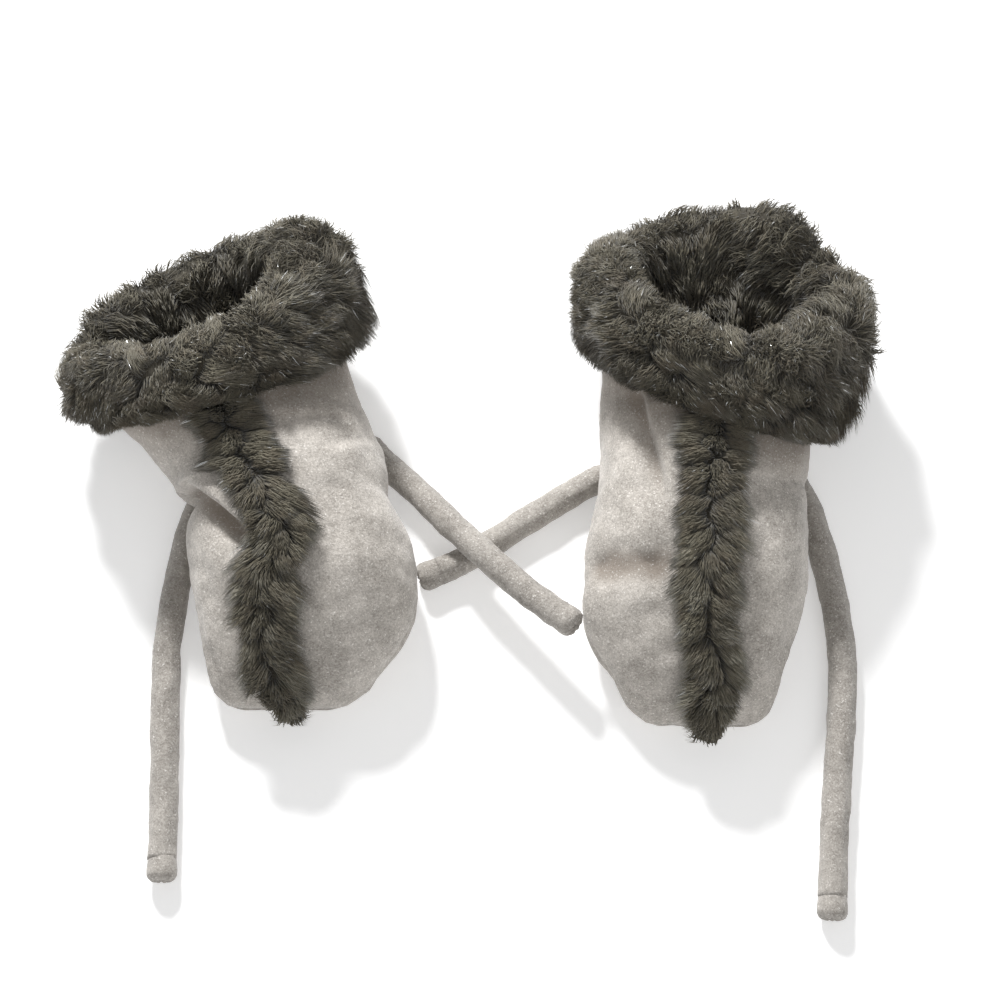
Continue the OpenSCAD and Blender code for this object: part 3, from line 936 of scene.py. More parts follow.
CLOTH_ROWS, CLOTH_COLUMNS = 84, 96
CLOTH_DEPTH = 0.6 * MM
CLOTH_FRAMES = 20
CLOTH_SETTINGS = {
    "quality": 6,
    "mass": 0.12,
    "tension_stiffness": 12,
    "compression_stiffness": 12,
    "shear_stiffness": 5,
    "bending_stiffness": 0.08,
    "shrink_min": -0.022,
    "use_pressure": True,
    "uniform_pressure_force": 4,
    "vertex_group_mass": "held",
    "pin_stiffness": 1,
}
MOST_SWELL = 1.5 * MM


def held_share(mitt, t, v, points):
    """Where the bag is sewn or lies on the floor, so that its filling can't push it."""
    half, rise, fall = mitt.station(t, 0.0)[3:6]
    seam = np.where(v <= 180, rise, fall) * np.abs(np.sin(np.radians(v)))
    beside = np.abs(half * np.cos(np.radians(v)) - mitt.strip_at(t))
    at_edge = bump(seam, 0, 1.3 * MM)
    on_tape = (v < 180) * (1 - smooth_step(4 * MM, 7.5 * MM, beside))
    under_cuff = smooth_step(26 * MM, 32 * MM, t)
    on_floor = 1.0 * (points[:, 2] < 1.6 * MM)
    at_tip = 1 - smooth_step(-mitt.hand_length, -mitt.hand_length + 3 * MM, t)
    return np.maximum.reduce([at_edge, on_tape, under_cuff, on_floor, at_tip])


def filled(piece, held):
    """Blows a closed bag up as cloth under pressure, held where it is sewn."""
    group = piece.vertex_groups.new(name="held")
    for index, weight in enumerate(held):
        group.add([index], float(weight), "REPLACE")
    only(piece)
    cloth = piece.modifiers.new("Cloth", "CLOTH")
    for name, value in CLOTH_SETTINGS.items():
        setattr(cloth.settings, name, value)
    cloth.settings.effector_weights.gravity = 0
    cloth.collision_settings.use_collision = False
    cloth.point_cache.frame_start, cloth.point_cache.frame_end = 1, CLOTH_FRAMES
    for step in range(1, CLOTH_FRAMES + 1):
        bpy.context.scene.frame_set(step)
    bpy.ops.object.modifier_apply(modifier=cloth.name)
    return points_of(piece)


def smoothed_along(kept, axis, edge):
    """A table of pushes, each mixed with its neighbours along one axis."""
    wide = np.pad(kept, [(1, 1) if axis == k else (0, 0) for k in range(3)], mode=edge)
    count = kept.shape[axis]
    before, after = (np.take(wide, range(k, count + k), axis) for k in (0, 2))
    return (before + 2 * kept + after) / 4


def padding_push(mitt):
    """Fills a closed copy of the bag as cloth and keeps how far each of its points moved."""
    places = {}

    def place(across, along):
        places["row"] = np.round(along * CLOTH_ROWS)
        places["column"] = np.round(across * CLOTH_COLUMNS)
        return mitt.skin(mitt_share(mitt, along), 360.0 * across, CLOTH_DEPTH)

    piece = shaped_grid(mitt.node("cloth"), CLOTH_COLUMNS, CLOTH_ROWS, place)
    for name, values in places.items():
        kept_place = piece.data.attributes.new(name, "INT", "POINT")
        kept_place.data.foreach_set("value", values.astype(np.int32))
    closed(piece, 0.02 * MM, capped=True)
    row, column = (np.empty(len(piece.data.vertices), np.int32) for _ in range(2))
    piece.data.attributes["row"].data.foreach_get("value", row)
    piece.data.attributes["column"].data.foreach_get("value", column)
    t, v = mitt_share(mitt, row / CLOTH_ROWS), 360.0 * column / CLOTH_COLUMNS
    before = points_of(piece)
    moved = filled(piece, held_share(mitt, t, v, before)) - before
    size = np.linalg.norm(moved, axis=1, keepdims=True)
    moved *= np.tanh(size / MOST_SWELL) * MOST_SWELL / np.maximum(size, 1e-9)
    kept = np.zeros((CLOTH_ROWS + 1, CLOTH_COLUMNS + 1, 3))
    kept[row, column] = moved
    kept[:, 0] = kept[:, -1] = kept[:, 0] + kept[:, -1] * (np.abs(kept[:, 0]).sum() == 0)
    for axis, edge in ((1, "wrap"), (1, "wrap"), (0, "edge"), (0, "edge")):
        kept = smoothed_along(kept, axis, edge)
    kept[:, -1] = kept[:, 0]
    mitt.swelling = kept
    bpy.data.objects.remove(piece, do_unlink=True)
    bpy.context.scene.frame_set(1)


class MITTS_OT_padding(Operator):
    """Work out how the wadding fills the bags"""

    bl_idname = "mitts.padding"
    bl_label = "Padding"

    def execute(self, context):
        for mitt in MITTS:
            padding_push(mitt)
        return {"FINISHED"}


class MITTS_OT_suede_panels(Operator):
    """Make the suede panels of both mitts"""

    bl_idname = "mitts.suede_panels"
    bl_label = "Suede panels"

    def execute(self, context):
        settings = context.scene.mitts_suede
        for mitt in MITTS:
            outer_is_left = mitt.side == "left"
            back_panel(mitt, "back_outer_panel", outer_is_left, settings)
            back_panel(mitt, "back_inner_panel", not outer_is_left, settings)
            palm_panel(mitt, settings)
        return {"FINISHED"}


# ---------------------------------------------------------------------------
# Lining and wadding
# ---------------------------------------------------------------------------


def at_ends(share):
    """Where a share is 0 or 1, so that both faces of a sheet meet there and close it."""
    return (share < 0.001) | (share > 0.999)


def inner_layer(mitt, layer, end, start, outer, inner, finish, roughness, top):
    """A closed sheet between two depths below the outside, from the angle start round one half."""

    def place(across, along):
        t = mitt_share(mitt, along, GAUNTLET_LENGTH * top)
        above = across < 0.5
        v = start + 180 * np.where(above, 2 * across, 2 - 2 * across)
        face = mitt.pushed(t, v, np.where(above, outer, inner))
        other = mitt.pushed(t, v, np.where(above, inner, outer))
        rough = roughness * (1 + ripple(face, 3 * MM, 31)) / 2
        share = np.where(at_ends(along) | at_ends(2 * across % 1), 0.5, rough / (inner - outer))
        return face + (other - face) * share[..., None]

    node = f"{layer}_{end}"
    piece = shaped_grid(mitt.node(node + "_layer"), 64, 60, place)
    smooth_shaded(closed(piece, 0.02 * MM))
    return dressed(piece, mitt, finish, node)


class MITTS_OT_inner_layers(Operator):
    """Make the fleece lining and the wadding"""

    bl_idname = "mitts.inner_layers"
    bl_label = "Inner layers"

    def execute(self, context):
        pile = context.scene.mitts_pile
        fleece = material("lining_fleece", fleece_finish, pile)
        filling = material("needled_wadding", wadding_finish)
        for mitt in MITTS:
            for end, start in (("back", 0.0), ("palm", 180.0)):
                for layer, outer, inner, finish, rough, top in (
                    ("lining", LINING_OUT, LINING_IN, fleece, 0.35 * MM, 1.0),
                    ("wadding", WADDING_OUT, WADDING_IN, filling, 0.5 * MM, 0.98),
                ):
                    inner_layer(mitt, layer, end, start, outer, inner, finish, rough, top)
        return {"FINISHED"}


# ---------------------------------------------------------------------------
# Pile
# ---------------------------------------------------------------------------

LOCK_SIDES = 3
PELT_OUT = 1.0 * MM
WALL_IN = LINING_IN + CUFF_GAP
FOLD_RADIUS = (WALL_IN + CUFF_GAP + PELT_OUT) / 2
FOLD_LENGTH = math.pi * FOLD_RADIUS
FOLD_TOP = CUFF_BAND + FOLD_LENGTH / 2
FOLD_END = CUFF_BAND + FOLD_LENGTH
CUFF_SPAN = FOLD_END + CUFF_TURN_IN
STRIP_TOP = GAUNTLET_LENGTH - CUFF_BAND - 1 * MM
TUFT_DRAWS = {"cuff": 10000, "strip": 4000}

# How the fibres are drawn: their points, how far they stray, how much they are pulled to their
# tuft's lean, their height, how many of them are silver and how wide they are
CUFF_FIBRES = {
    "pile": {
        "points": 3, "stray": 0.12, "pull": (0.50, 0.92), "height": (0.86, 1.04), "silver": 0.026,
        "wide": 1.35,
    },
    "underfur": {
        "points": 2, "stray": 0.15, "pull": (0.35, 0.75), "height": (0.66, 0.88), "silver": 0,
        "wide": 0.95,
    },
}
STRIP_FIBRES = {
    "pile": {"points": 3, "pull": (0.40, 0.80), "height": 1.0, "silver": 0.022, "wide": 1.15},
    "underfur": {"points": 2, "pull": (0.30, 0.65), "height": 0.8, "silver": 0, "wide": 0.85},
}


def locks_piece(name, curves, outward, widths, tones, silvers):
    """One mesh of many closed tapered locks, flat towards outward. curves is locks by points by 3."""
    count, steps = curves.shape[:2]
    rings = steps - 1
    tangents = unit(np.gradient(curves, axis=1))
    draw = np.random.default_rng(len(name) * 7 + count)
    outward = unit(outward) + 0.30 * draw.normal(size=(count, 3))
    side = unit(np.cross(tangents, outward[:, None, :]))
    other = np.cross(side, tangents)
    share = np.linspace(0, 1, steps)[:rings]
    taper = 1.15 - 0.75 * share**1.5
    radius = widths[:, None] * 0.5 * taper[None, :]
    around = math.pi / 6 + np.arange(LOCK_SIDES) * 2 * math.pi / LOCK_SIDES
    wide = np.cos(around)[:, None] * radius[:, :, None, None]
    thick = np.sin(around)[:, None] * radius[:, :, None, None] * 0.5
    curve, side, other = (part[:, :rings, None, :] for part in (curves, side, other))
    ring = curve + side * wide + other * thick
    per = rings * LOCK_SIDES + 1
    points = np.concatenate([ring.reshape(count, rings * LOCK_SIDES, 3), curves[:, -1:, :]], axis=1)
    quads = []
    for r in range(rings - 1):
        for k in range(LOCK_SIDES):
            n = (k + 1) % LOCK_SIDES
            low, high = r * LOCK_SIDES, (r + 1) * LOCK_SIDES
            quads.append((low + k, high + k, high + n, low + n))
    top = (rings - 1) * LOCK_SIDES
    tris = [(top + (k + 1) % LOCK_SIDES, top + k, per - 1) for k in range(LOCK_SIDES)]
    tris.append(tuple(range(LOCK_SIDES)))
    starts = np.arange(count)[:, None, None] * per
    all_quads = (starts + np.array(quads, int).reshape(1, -1, 4)).reshape(-1)
    all_tris = (starts + np.array(tris, int)[None]).reshape(-1)
    mesh = bpy.data.meshes.new(name)
    mesh.vertices.add(count * per)
    mesh.vertices.foreach_set("co", points.reshape(-1))
    loops = np.concatenate([all_quads, all_tris])
    mesh.loops.add(len(loops))
    mesh.loops.foreach_set("vertex_index", loops)
    totals = np.concatenate([np.full(len(all_quads) // 4, 4), np.full(len(all_tris) // 3, 3)])
    mesh.polygons.add(len(totals))
    mesh.polygons.foreach_set("loop_start", np.concatenate([[0], np.cumsum(totals)[:-1]]))
    mesh.update(calc_edges=True)
    mesh.validate()
    along = np.concatenate([np.repeat(share, LOCK_SIDES), [1.0]])
    add_attribute(mesh, "along", np.tile(along, count))
    add_attribute(mesh, "tone", np.repeat(tones, per))
    add_attribute(mesh, "silver", np.repeat(silvers, per))
    add_lock_cells(mesh, count, per, along)
    mesh.polygons.foreach_set("use_smooth", np.ones(len(mesh.polygons), bool))
    return linked(name, mesh)


def add_attribute(mesh, name, values):
    mesh.attributes.new(name, "FLOAT", "POINT").data.foreach_set("value", values.astype(np.float32))


def add_lock_cells(mesh, count, per, along):
    """Lays each lock in a cell of its own, so that neighbours never share a patch of colour."""
    grid = math.ceil(math.sqrt(count))
    index = np.repeat(np.arange(count), per)
    within = np.tile(np.arange(per), count)
    around = (within % LOCK_SIDES) / (LOCK_SIDES - 1)
    around = np.where(within == per - 1, 0.5, around)
    u = (index % grid + 0.12 + 0.76 * around) / grid
    v = (index // grid + 0.10 + 0.80 * np.tile(along, count)) / grid
    loop_points = np.empty(len(mesh.loops), int)
    mesh.loops.foreach_get("vertex_index", loop_points)
    layer = mesh.uv_layers.new(name="OFBake")
    places = np.stack([u[loop_points], v[loop_points]], 1)
    layer.data.foreach_set("uv", places.astype(np.float32).ravel())


class Tufts:
    """The middles that all fibres of one fur gather to."""

    def __init__(self, places, points, spacing, seed):
        draw = np.random.default_rng(seed)
        cells = np.floor(points / spacing + draw.random(3)).astype(int)
        chosen = np.unique(cells, axis=0, return_index=True)[1]
        self.places, self.points = places[chosen], points[chosen]
        self.lean = draw.normal(size=(len(chosen), 2))
        self.tone = draw.random(len(chosen))
        self.reach = 0.55 * spacing
        self.tree = KDTree(len(chosen))
        for k, point in enumerate(self.points):
            self.tree.insert(point, k)
        self.tree.balance()

    def nearest(self, points):
        """The tuft of each point, and how near the point lies to that tuft's border."""
        found = [self.tree.find(point)[1:] for point in points]
        index = np.array([f[0] for f in found])
        return index, np.clip(np.array([f[1] for f in found]) / self.reach, 0, 1.2) ** 2


def swells(points):
    """How far the pile swells and sinks along a fur."""
    return 1 + 0.13 * ripple(points, 15 * MM, 51) + 0.11 * ripple(points, 6.5 * MM, 52)


def over_cuff(mitt, w, v, height, floor=0.0):
    """Point of the folded cuff: w along it from its lower edge, v round it, height above the pelt."""
    w, v, height = np.broadcast_arrays(w, v, height)
    turn = np.clip((w - CUFF_BAND) / FOLD_RADIUS, 0, math.pi)
    reach = FOLD_RADIUS + height
    past = np.minimum(np.minimum(w - CUFF_BAND, 0), FOLD_END - w) + reach * np.sin(turn)
    past = np.where(w < CUFF_BAND, w - CUFF_BAND, past)
    t = GAUNTLET_LENGTH + 0.6 * MM + past + mitt.cuff_shift(v, np.minimum(past, 0))
    return mitt.skin(t, v, FOLD_RADIUS - PELT_OUT - reach * np.cos(turn), floor)


def cuff_height(settings, w, v):
    """Thickness of the pile along the fold, thinner on the lip over the back."""
    side = bump(half_turn(v), 0, 42)
    lip = (1 - 0.25 * np.clip(np.sin(np.radians(v)), 0, 1)) * (1 + 0.35 * side)
    band = (settings.cuff_pile - PELT_OUT) * mix(0.62, 1 + 0.2 * side, smooth_step(0, 8 * MM, w))
    outside = mix(band, settings.rim_pile * lip, smooth_step(CUFF_BAND - 7 * MM, FOLD_TOP, w))
    return mix(outside, settings.mouth_pile * lip, smooth_step(FOLD_TOP, FOLD_END + 2 * MM, w))


def cuff_way(w, points):
    """Where the cuff's fibres lean, along the fold and round it, as shares of their height."""
    keys = [0, 0.5 * CUFF_BAND, CUFF_BAND, FOLD_TOP, FOLD_END, CUFF_SPAN]
    lean = np.interp(w, keys, [-0.52, -0.42, -0.20, 0.04, 0.30, 0.40])
    return lean + 0.22 * ripple(points, 9 * MM, 102), 0.44 * ripple(points, 19 * MM, 101)


def in_mouth(w):
    """0 up to the top of the fold and 1 past its end."""
    return smooth_step(FOLD_TOP, FOLD_END, w)


def cuff_radius(w):
    return mix(36 * MM, 26 * MM, in_mouth(w))


def cuff_tufts(mitt, settings, seed):
    draw = np.random.default_rng(seed)
    count = TUFT_DRAWS["cuff"]
    w, v = draw.uniform(0, CUFF_SPAN + DEEP_PILE, count), draw.uniform(0, 360, count)
    points = over_cuff(mitt, w, v, 0.3 * cuff_height(settings, w, v))
    return Tufts(np.stack([w, v], 1), points, 6.4 * MM, seed)


def cuff_locks(mitt, settings, tufts, part, kind, count, band, arc, seed):
    """Fibres of one part of the cuff, between two places along the fold and two angles round it."""
    draw = np.random.default_rng(seed)
    look = CUFF_FIBRES[kind]
    w0 = draw.uniform(*band, count)
    v0 = draw.uniform(*arc, count)
    full = cuff_height(settings, w0, v0) * swells(over_cuff(mitt, w0, v0, 0.0))
    roots = over_cuff(mitt, w0, v0, 0.3 * full)
    index, border = tufts.nearest(roots)
    middle_w, middle_v = tufts.places[index].T
    tuft_w, tuft_v = cuff_way(tufts.places[:, 0], tufts.points) + 0.20 * tufts.lean.T
    own_w, own_v = cuff_way(w0, roots)
    stray = look["stray"] * draw.normal(size=(2, count))
    pull = draw.uniform(*look["pull"], count)
    size = draw.uniform(0.84, 1.06, count)
    gather = 0.48 * pull
    lean_w = mix(own_w, tuft_w[index], pull) + stray[0]
    lean_v = mix(own_v, tuft_v[index], pull) + stray[1]
    tip_w = w0 + full * lean_w * size - gather * (w0 - middle_w)
    tip_v = v0 + np.degrees(full * lean_v / cuff_radius(w0)) - gather * half_turn(v0 - middle_v)
    tip_h = full * size * draw.uniform(*look["height"], count) * (1 - 0.16 * border)
    steps = np.linspace(0, 1, look["points"])[None, :]
    base = 0.36 * full[:, None]
    curl = draw.normal(size=(count, 1)) * 0.8 * np.sin(math.pi * steps)
    w = w0[:, None] + (tip_w - w0)[:, None] * steps**1.3
    v = v0[:, None] + (tip_v - v0)[:, None] * steps**1.3 + curl
    h = base + (tip_h[:, None] - base) * (1 - (1 - steps) ** 1.5)
    curves = over_cuff(mitt, w, v, h, 0.15 * MM)
    silver = (draw.random(count) < look["silver"]).astype(float)
    # Painted light and shade in the tones: a painted highlight along the fold's crest, the mouth's
    # fibres lifted as painted light, and painted shade at the tufts' borders and deep in the mouth
    crest_light = bump(w0, CUFF_BAND + 0.3 * FOLD_LENGTH, 8 * MM)
    tones = 0.26 * draw.random(count) + 0.34 * tufts.tone[index] + 0.10
    tones = tones + 0.40 * crest_light + 0.36 * in_mouth(w0) - 0.26 * border
    tones = tones - 0.62 * smooth_step(CUFF_SPAN - 6 * MM, CUFF_SPAN + 12 * MM, w0)
    widths = settings.fibre * draw.uniform(0.75, 1.25, count) * look["wide"]
    outward = over_cuff(mitt, w0, v0, full) - over_cuff(mitt, w0, v0, 0.0)
    name = mitt.node(f"cuff_{part}_{kind}")
    piece = locks_piece(name, curves, outward, widths, tones, silver)
    return dressed(piece, mitt, material("cuff_pile", pile_finish, settings))


def add_flow(piece, across, along, border):
    """Keeps how a pelt's fibres lie, as places across and along them, and its gaps between tufts, where
    the finish paints shade.
    """
    flow = np.stack([across, along, 0 * along], 1).astype(np.float32)
    piece.data.attributes.new("flow", "FLOAT_VECTOR", "POINT").data.foreach_set("vector", flow.ravel())
    add_attribute(piece.data, "gap", border)


# Share of the pelt's rows that lie outside, under the fibres
PELT_OUTSIDE = 0.8


def cuff_pelt(mitt, settings, tufts):
    """The cuff's backing and underfur, one closed fold round the rim."""
    flow = []

    def place(across, along):
        v = 360 * (across % 1)
        outer = along < PELT_OUTSIDE
        w = np.where(outer, along / PELT_OUTSIDE, (1 - along) / (1 - PELT_OUTSIDE)) * CUFF_SPAN
        edge = np.sqrt(np.clip(np.minimum(w + 0.4 * MM, CUFF_SPAN - w + 0.4 * MM) / (5 * MM), 0, 1))
        base = over_cuff(mitt, w, v, 0.0)
        border = tufts.nearest(base)[1]
        under = cuff_height(settings, w, v) * 0.48 * edge * swells(base) * (1.06 - 0.22 * border)
        flow[:] = [v * 1.1, w / (3.0 * MM), border]
        return over_cuff(mitt, w, v, np.where(at_ends(along), 0, np.where(outer, under, -0.35 * MM)))

    piece = shaped_grid(mitt.node("fur_cuff_pelt"), 180, 90, place)
    add_flow(piece, *flow)
    smooth_shaded(closed(piece, 0.05 * MM))
    return dressed(piece, mitt, material("cuff_pelt", pelt_finish, settings), "fur_cuff")


MOUTH_START = CUFF_BAND + FOLD_LENGTH * 0.55
DEEP_START = CUFF_SPAN + LINING_PILE
# The cuff's pieces of pile: share of the fibres, places along the fold and angles round it
CUFF_PARTS = (
    ("left", 1, (0, MOUTH_START), (85, 200)),
    ("right", 1, (0, MOUTH_START), (-20, 95)),
    ("under", 0.4, (0, MOUTH_START), (200, 340)),
    ("mouth", 1.25, (MOUTH_START, DEEP_START), (0, 360)),
    ("deep", 0.2, (DEEP_START, CUFF_SPAN + DEEP_PILE), (185, 355)),
)


class MITTS_OT_cuffs(Operator):
    """Make the folded pile cuffs"""

    bl_idname = "mitts.cuffs"
    bl_label = "Pile cuffs"

    def execute(self, context):
        settings = context.scene.mitts_pile
        for i, mitt in enumerate(MITTS):
            tufts = cuff_tufts(mitt, settings, 90 + i)
            kinds = (("pile", settings.locks, 100), ("underfur", settings.underfur, 140))
            for kind, full, seed in kinds:
                for k, (part, share, band, arc) in enumerate(CUFF_PARTS):
                    count = int(full * share)
                    cuff_locks(mitt, settings, tufts, part, kind, count, band, arc, seed + 10 * i + k)
            cuff_pelt(mitt, settings, tufts)
        return {"FINISHED"}


def strip_end(mitt):
    return STRIP_TOP - 0.8 * mitt.drop


def tip_share(mitt, t, reach):
    """1 at the tip of the mitt and 0 from reach on."""
    return 1 - smooth_step(-mitt.hand_length, -mitt.hand_length + reach, t)


def strip_tape(mitt, settings, tufts):
    """The strip's own backing with its underfur, between the two back panels."""
    flow = []

    def place(across, along):
        t = mitt_share(mitt, along, GAUNTLET_LENGTH - 1 * MM)
        top = across < 0.5
        s = np.where(top, -1 + 4 * across, 3 - 4 * across)
        hem = at_ends(along) | (np.abs(s) > 0.999)
        dome = np.sqrt(np.clip(1 - s**2, 0, 1))
        top_end = strip_end(mitt)
        fade = 1 - smooth_step(top_end - 5 * MM, top_end - 1 * MM, t)
        border = tufts.nearest(mitt.over_strip(s * TAPE_WIDTH / 2, t, 0.2 * MM))[1]
        fur_width = 1 + 0.4 * fade * np.sin(math.pi * np.abs(s)) * (top & ~hem)
        wide = TAPE_WIDTH / 2 * (1 - 0.3 * tip_share(mitt, t, 4 * MM)) * fur_width
        under = settings.strip_pile * 0.42 * dome * (1.05 - 0.2 * border) * fade
        height = np.where(hem, -0.4 * MM, np.where(top, 0.1 * MM + under, -0.9 * MM))
        flow[:] = [t / (0.5 * MM), s * TAPE_WIDTH / (3 * MM), border]
        return mitt.over_strip(s * wide, t, height)

    piece = shaped_grid(mitt.node("strip_tape"), 84, 150, place)
    add_flow(piece, *flow)
    smooth_shaded(closed(piece, 0.02 * MM))
    return dressed(piece, mitt, material("strip_pelt", pelt_finish, settings), "back_fur_strip")


def strip_way(mitt, s, t):
    """Where the strip's fibres lie, across it from its parting and down along it."""
    near_tip = tip_share(mitt, t, 9 * MM)
    line = np.stack([0 * t, t, 0 * t], 1)
    parting = ripple(line, 18 * MM, 111) * 1.4 * MM
    size = 1 + 0.12 * ripple(line, 17 * MM, 112)
    across = np.tanh((s - parting) / (2.4 * MM)) * 7.4 * MM * size * (1 - 0.60 * near_tip)
    down = mix(2.0, 4.4, 1 - smooth_step(-12 * MM, 10 * MM, t)) * MM
    unsteady = 1.6 * MM * ripple(line, 14 * MM, 113) * (1 - near_tip)
    return across, -down * (1 - 0.6 * near_tip) + unsteady


def strip_tufts(mitt, seed):
    draw = np.random.default_rng(seed)
    count = TUFT_DRAWS["strip"]
    t = draw.uniform(-mitt.hand_length, STRIP_TOP, count)
    s = draw.uniform(-0.5, 0.5, count) * TAPE_WIDTH
    return Tufts(np.stack([s, t], 1), mitt.over_strip(s, t, 0.2 * MM), 4.6 * MM, seed)


def strip_pile(mitt, settings, tufts, kind, count, seed):
    """Pile parted along the middle of the strip and swept out to both sides."""
    draw = np.random.default_rng(seed)
    look = STRIP_FIBRES[kind]
    t0 = draw.uniform(-mitt.hand_length, strip_end(mitt), count)
    s0 = draw.uniform(-0.5, 0.5, count) * TAPE_WIDTH * (1 - 0.45 * tip_share(mitt, t0, 5 * MM))
    index, border = tufts.nearest(mitt.over_strip(s0, t0, 0.2 * MM))
    near_tip = tip_share(mitt, t0, 9 * MM)
    tuft_s, tuft_t = tufts.places.T
    own = strip_way(mitt, s0, t0)
    shared = strip_way(mitt, tuft_s, tuft_t) + 1.1 * MM * tufts.lean.T
    pull = draw.uniform(*look["pull"], count)
    size = draw.uniform(0.80, 1.06, count) * look["height"]
    stray = draw.normal(size=(2, count)) * 0.75 * MM
    gather = 0.42 * pull
    tip_s = s0 + mix(own[0], shared[0][index], pull) * size + stray[0] - gather * (s0 - tuft_s[index])
    tip_t = t0 + mix(own[1], shared[1][index], pull) * size + stray[1] - gather * (t0 - tuft_t[index])
    rounding = near_tip * 1.6 * MM * (1 - (tip_s / (7 * MM)) ** 2)
    tip_t = tip_t - np.clip(rounding, -1.5 * MM, None)
    beside = np.abs(np.tanh(s0 / (4 * MM)))
    peak = settings.strip_pile * size * (1 - 0.22 * beside) * (1 - 0.14 * border)
    steps = np.linspace(0, 1, look["points"])[None, :]
    s = s0[:, None] + (tip_s - s0)[:, None] * steps**1.25
    t = t0[:, None] + (tip_t - t0)[:, None] * steps**1.25
    curl = draw.normal(size=(count, 1)) * 0.14 * MM
    droop = peak[:, None] * (0.50 + 0.3 * near_tip[:, None]) * steps**2.5
    arch = np.sin(np.minimum(steps * 1.2, 1) * math.pi / 2)
    h = peak[:, None] * (0.42 + 0.58 * arch) - droop
    curves = mitt.over_strip(s + curl * np.sin(math.pi * steps), t, np.maximum(h, 0.2 * MM))
    silver = (draw.random(count) < look["silver"]).astype(float)
    # Painted shade: locks near the border of their tuft are darker
    tones = 0.28 * draw.random(count) + 0.36 * tufts.tone[index] - 0.28 * border
    tones = tones + mix(0.58, 0.27, smooth_step(-34 * MM, 8 * MM, t0))
    widths = settings.fibre * draw.uniform(0.75, 1.25, count) * look["wide"]
    outward = mitt.over_strip(s0, t0, 3 * MM) - mitt.over_strip(s0, t0, 0.0)
    piece = locks_piece(mitt.node("strip_" + kind), curves, outward, widths, tones, silver)
    return dressed(piece, mitt, material("strip_pile", pile_finish, settings))


class MITTS_OT_strips(Operator):
    """Make the pile strips along the backs"""

    bl_idname = "mitts.strips"
    bl_label = "Back strips"

    def execute(self, context):
        settings = context.scene.mitts_pile
        for i, mitt in enumerate(MITTS):
            tufts = strip_tufts(mitt, 95 + i)
            strip_tape(mitt, settings, tufts)
            strip_pile(mitt, settings, tufts, "pile", settings.locks, 300 + 10 * i)
            strip_pile(mitt, settings, tufts, "underfur", settings.underfur, 350 + 10 * i)
        return {"FINISHED"}


# ---------------------------------------------------------------------------
# Ties
# ---------------------------------------------------------------------------


ROUTE_STEP = 1.2 * MM
TIE_PLAY = 0.12 * MM
TIE_LIFT = 0.02 * MM
SEAM_AT = 2.4
PLEATS = 9
# The gathered end, from inside the tube to its middle: shares of its length and of the tie's radius
GATHER_X = [-0.10, -0.10, 0.04, 0.20, 0.45, 0.70, 0.88, 0.97, 1.0, 0.97, 0.90]
GATHER_R = [0.0, 0.96, 0.985, 1.01, 1.05, 1.04, 0.92, 0.72, 0.48, 0.22, 0.0]
TACK_HALF_WIDTH = 4.15 * MM


def curve_through(a, b, c, d, s):
    """Point at the share s between b and c, on a smooth curve past a and d."""
    bend = 2 * a - 5 * b + 4 * c - d
    turn = 3 * b - a - 3 * c + d
    return 0.5 * (2 * b + (c - a) * s + bend * s**2 + turn * s**3)


def smooth_route(points):
    """Evenly spaced points on a smooth curve through the route, and its length."""
    p = np.array(points, float) * MM + FOOTPRINT_SHIFT
    padded = np.concatenate([[2 * p[0] - p[1]], p, [2 * p[-1] - p[-2]]])
    near = zip(padded, padded[1:], padded[2:], padded[3:])
    fine = np.array([curve_through(*four, s) for four in near for s in np.arange(0, 1, 0.05)] + [p[-1]])
    run = np.concatenate([[0], np.cumsum(np.linalg.norm(np.diff(fine, axis=0), axis=1))])
    at = np.linspace(0, run[-1], int(round(run[-1] / ROUTE_STEP)) + 1)
    return np.stack([np.interp(at, run, fine[:, i]) for i in range(3)], 1), run[-1]


def sides_of(way):
    """Sideways and upward directions of a way."""
    side = np.cross(way, [0, 0, 1])
    side /= np.linalg.norm(side, axis=-1, keepdims=True)
    return side, np.cross(side, way)


def out_of(side, up, turn):
    return side * np.cos(turn)[:, None] + up * np.sin(turn)[:, None]


def above_floor(points):
    points[:, 2] = np.maximum(points[:, 2], TIE_LIFT)
    return points


def tie_radius(settings):
    return settings.diameter / 2 - TIE_PLAY


def tie_tube(mitt, node, settings, suede):
    """The stuffed tube along its route, with a seam, lumps and wrinkles where it bends."""
    line, run = smooth_route(TIE_ROUTES[mitt.node(node)])
    way = np.gradient(line, axis=0)
    way /= np.linalg.norm(way, axis=1, keepdims=True)
    side, up = sides_of(way)
    radius = tie_radius(settings)
    rows = len(line) - 1
    bend = np.linalg.norm(np.gradient(way, axis=0), axis=1) / ROUTE_STEP

    def place(across, along):
        i = np.clip(np.round(along * rows).astype(int), 0, rows)
        turn = 2 * math.pi * across
        out = out_of(side[i], up[i], turn)
        base = line[i] + out * radius
        lumps = 0.16 * MM * ripple(base, 9 * MM, 61) + 0.07 * MM * ripple(base, 3.5 * MM, 62)
        seam = -0.35 * MM * bump(np.angle(np.exp(1j * (turn - SEAM_AT))), 0, 0.16)
        folds = np.sin(along * rows * ROUTE_STEP / (2.6 * MM) * 2 * math.pi)
        wrinkles = 0.18 * MM * folds * np.clip(bend[i] * 12 * MM, 0, 1)
        return above_floor(line[i] + out * (radius + lumps + seam + wrinkles)[:, None])

    piece = shaped_grid(mitt.node(node + "_tube"), 28, rows, place)
    smooth_shaded(closed(piece, capped=True))
    dressed(piece, mitt, suede, node)
    return piece, line, run, way[-1]


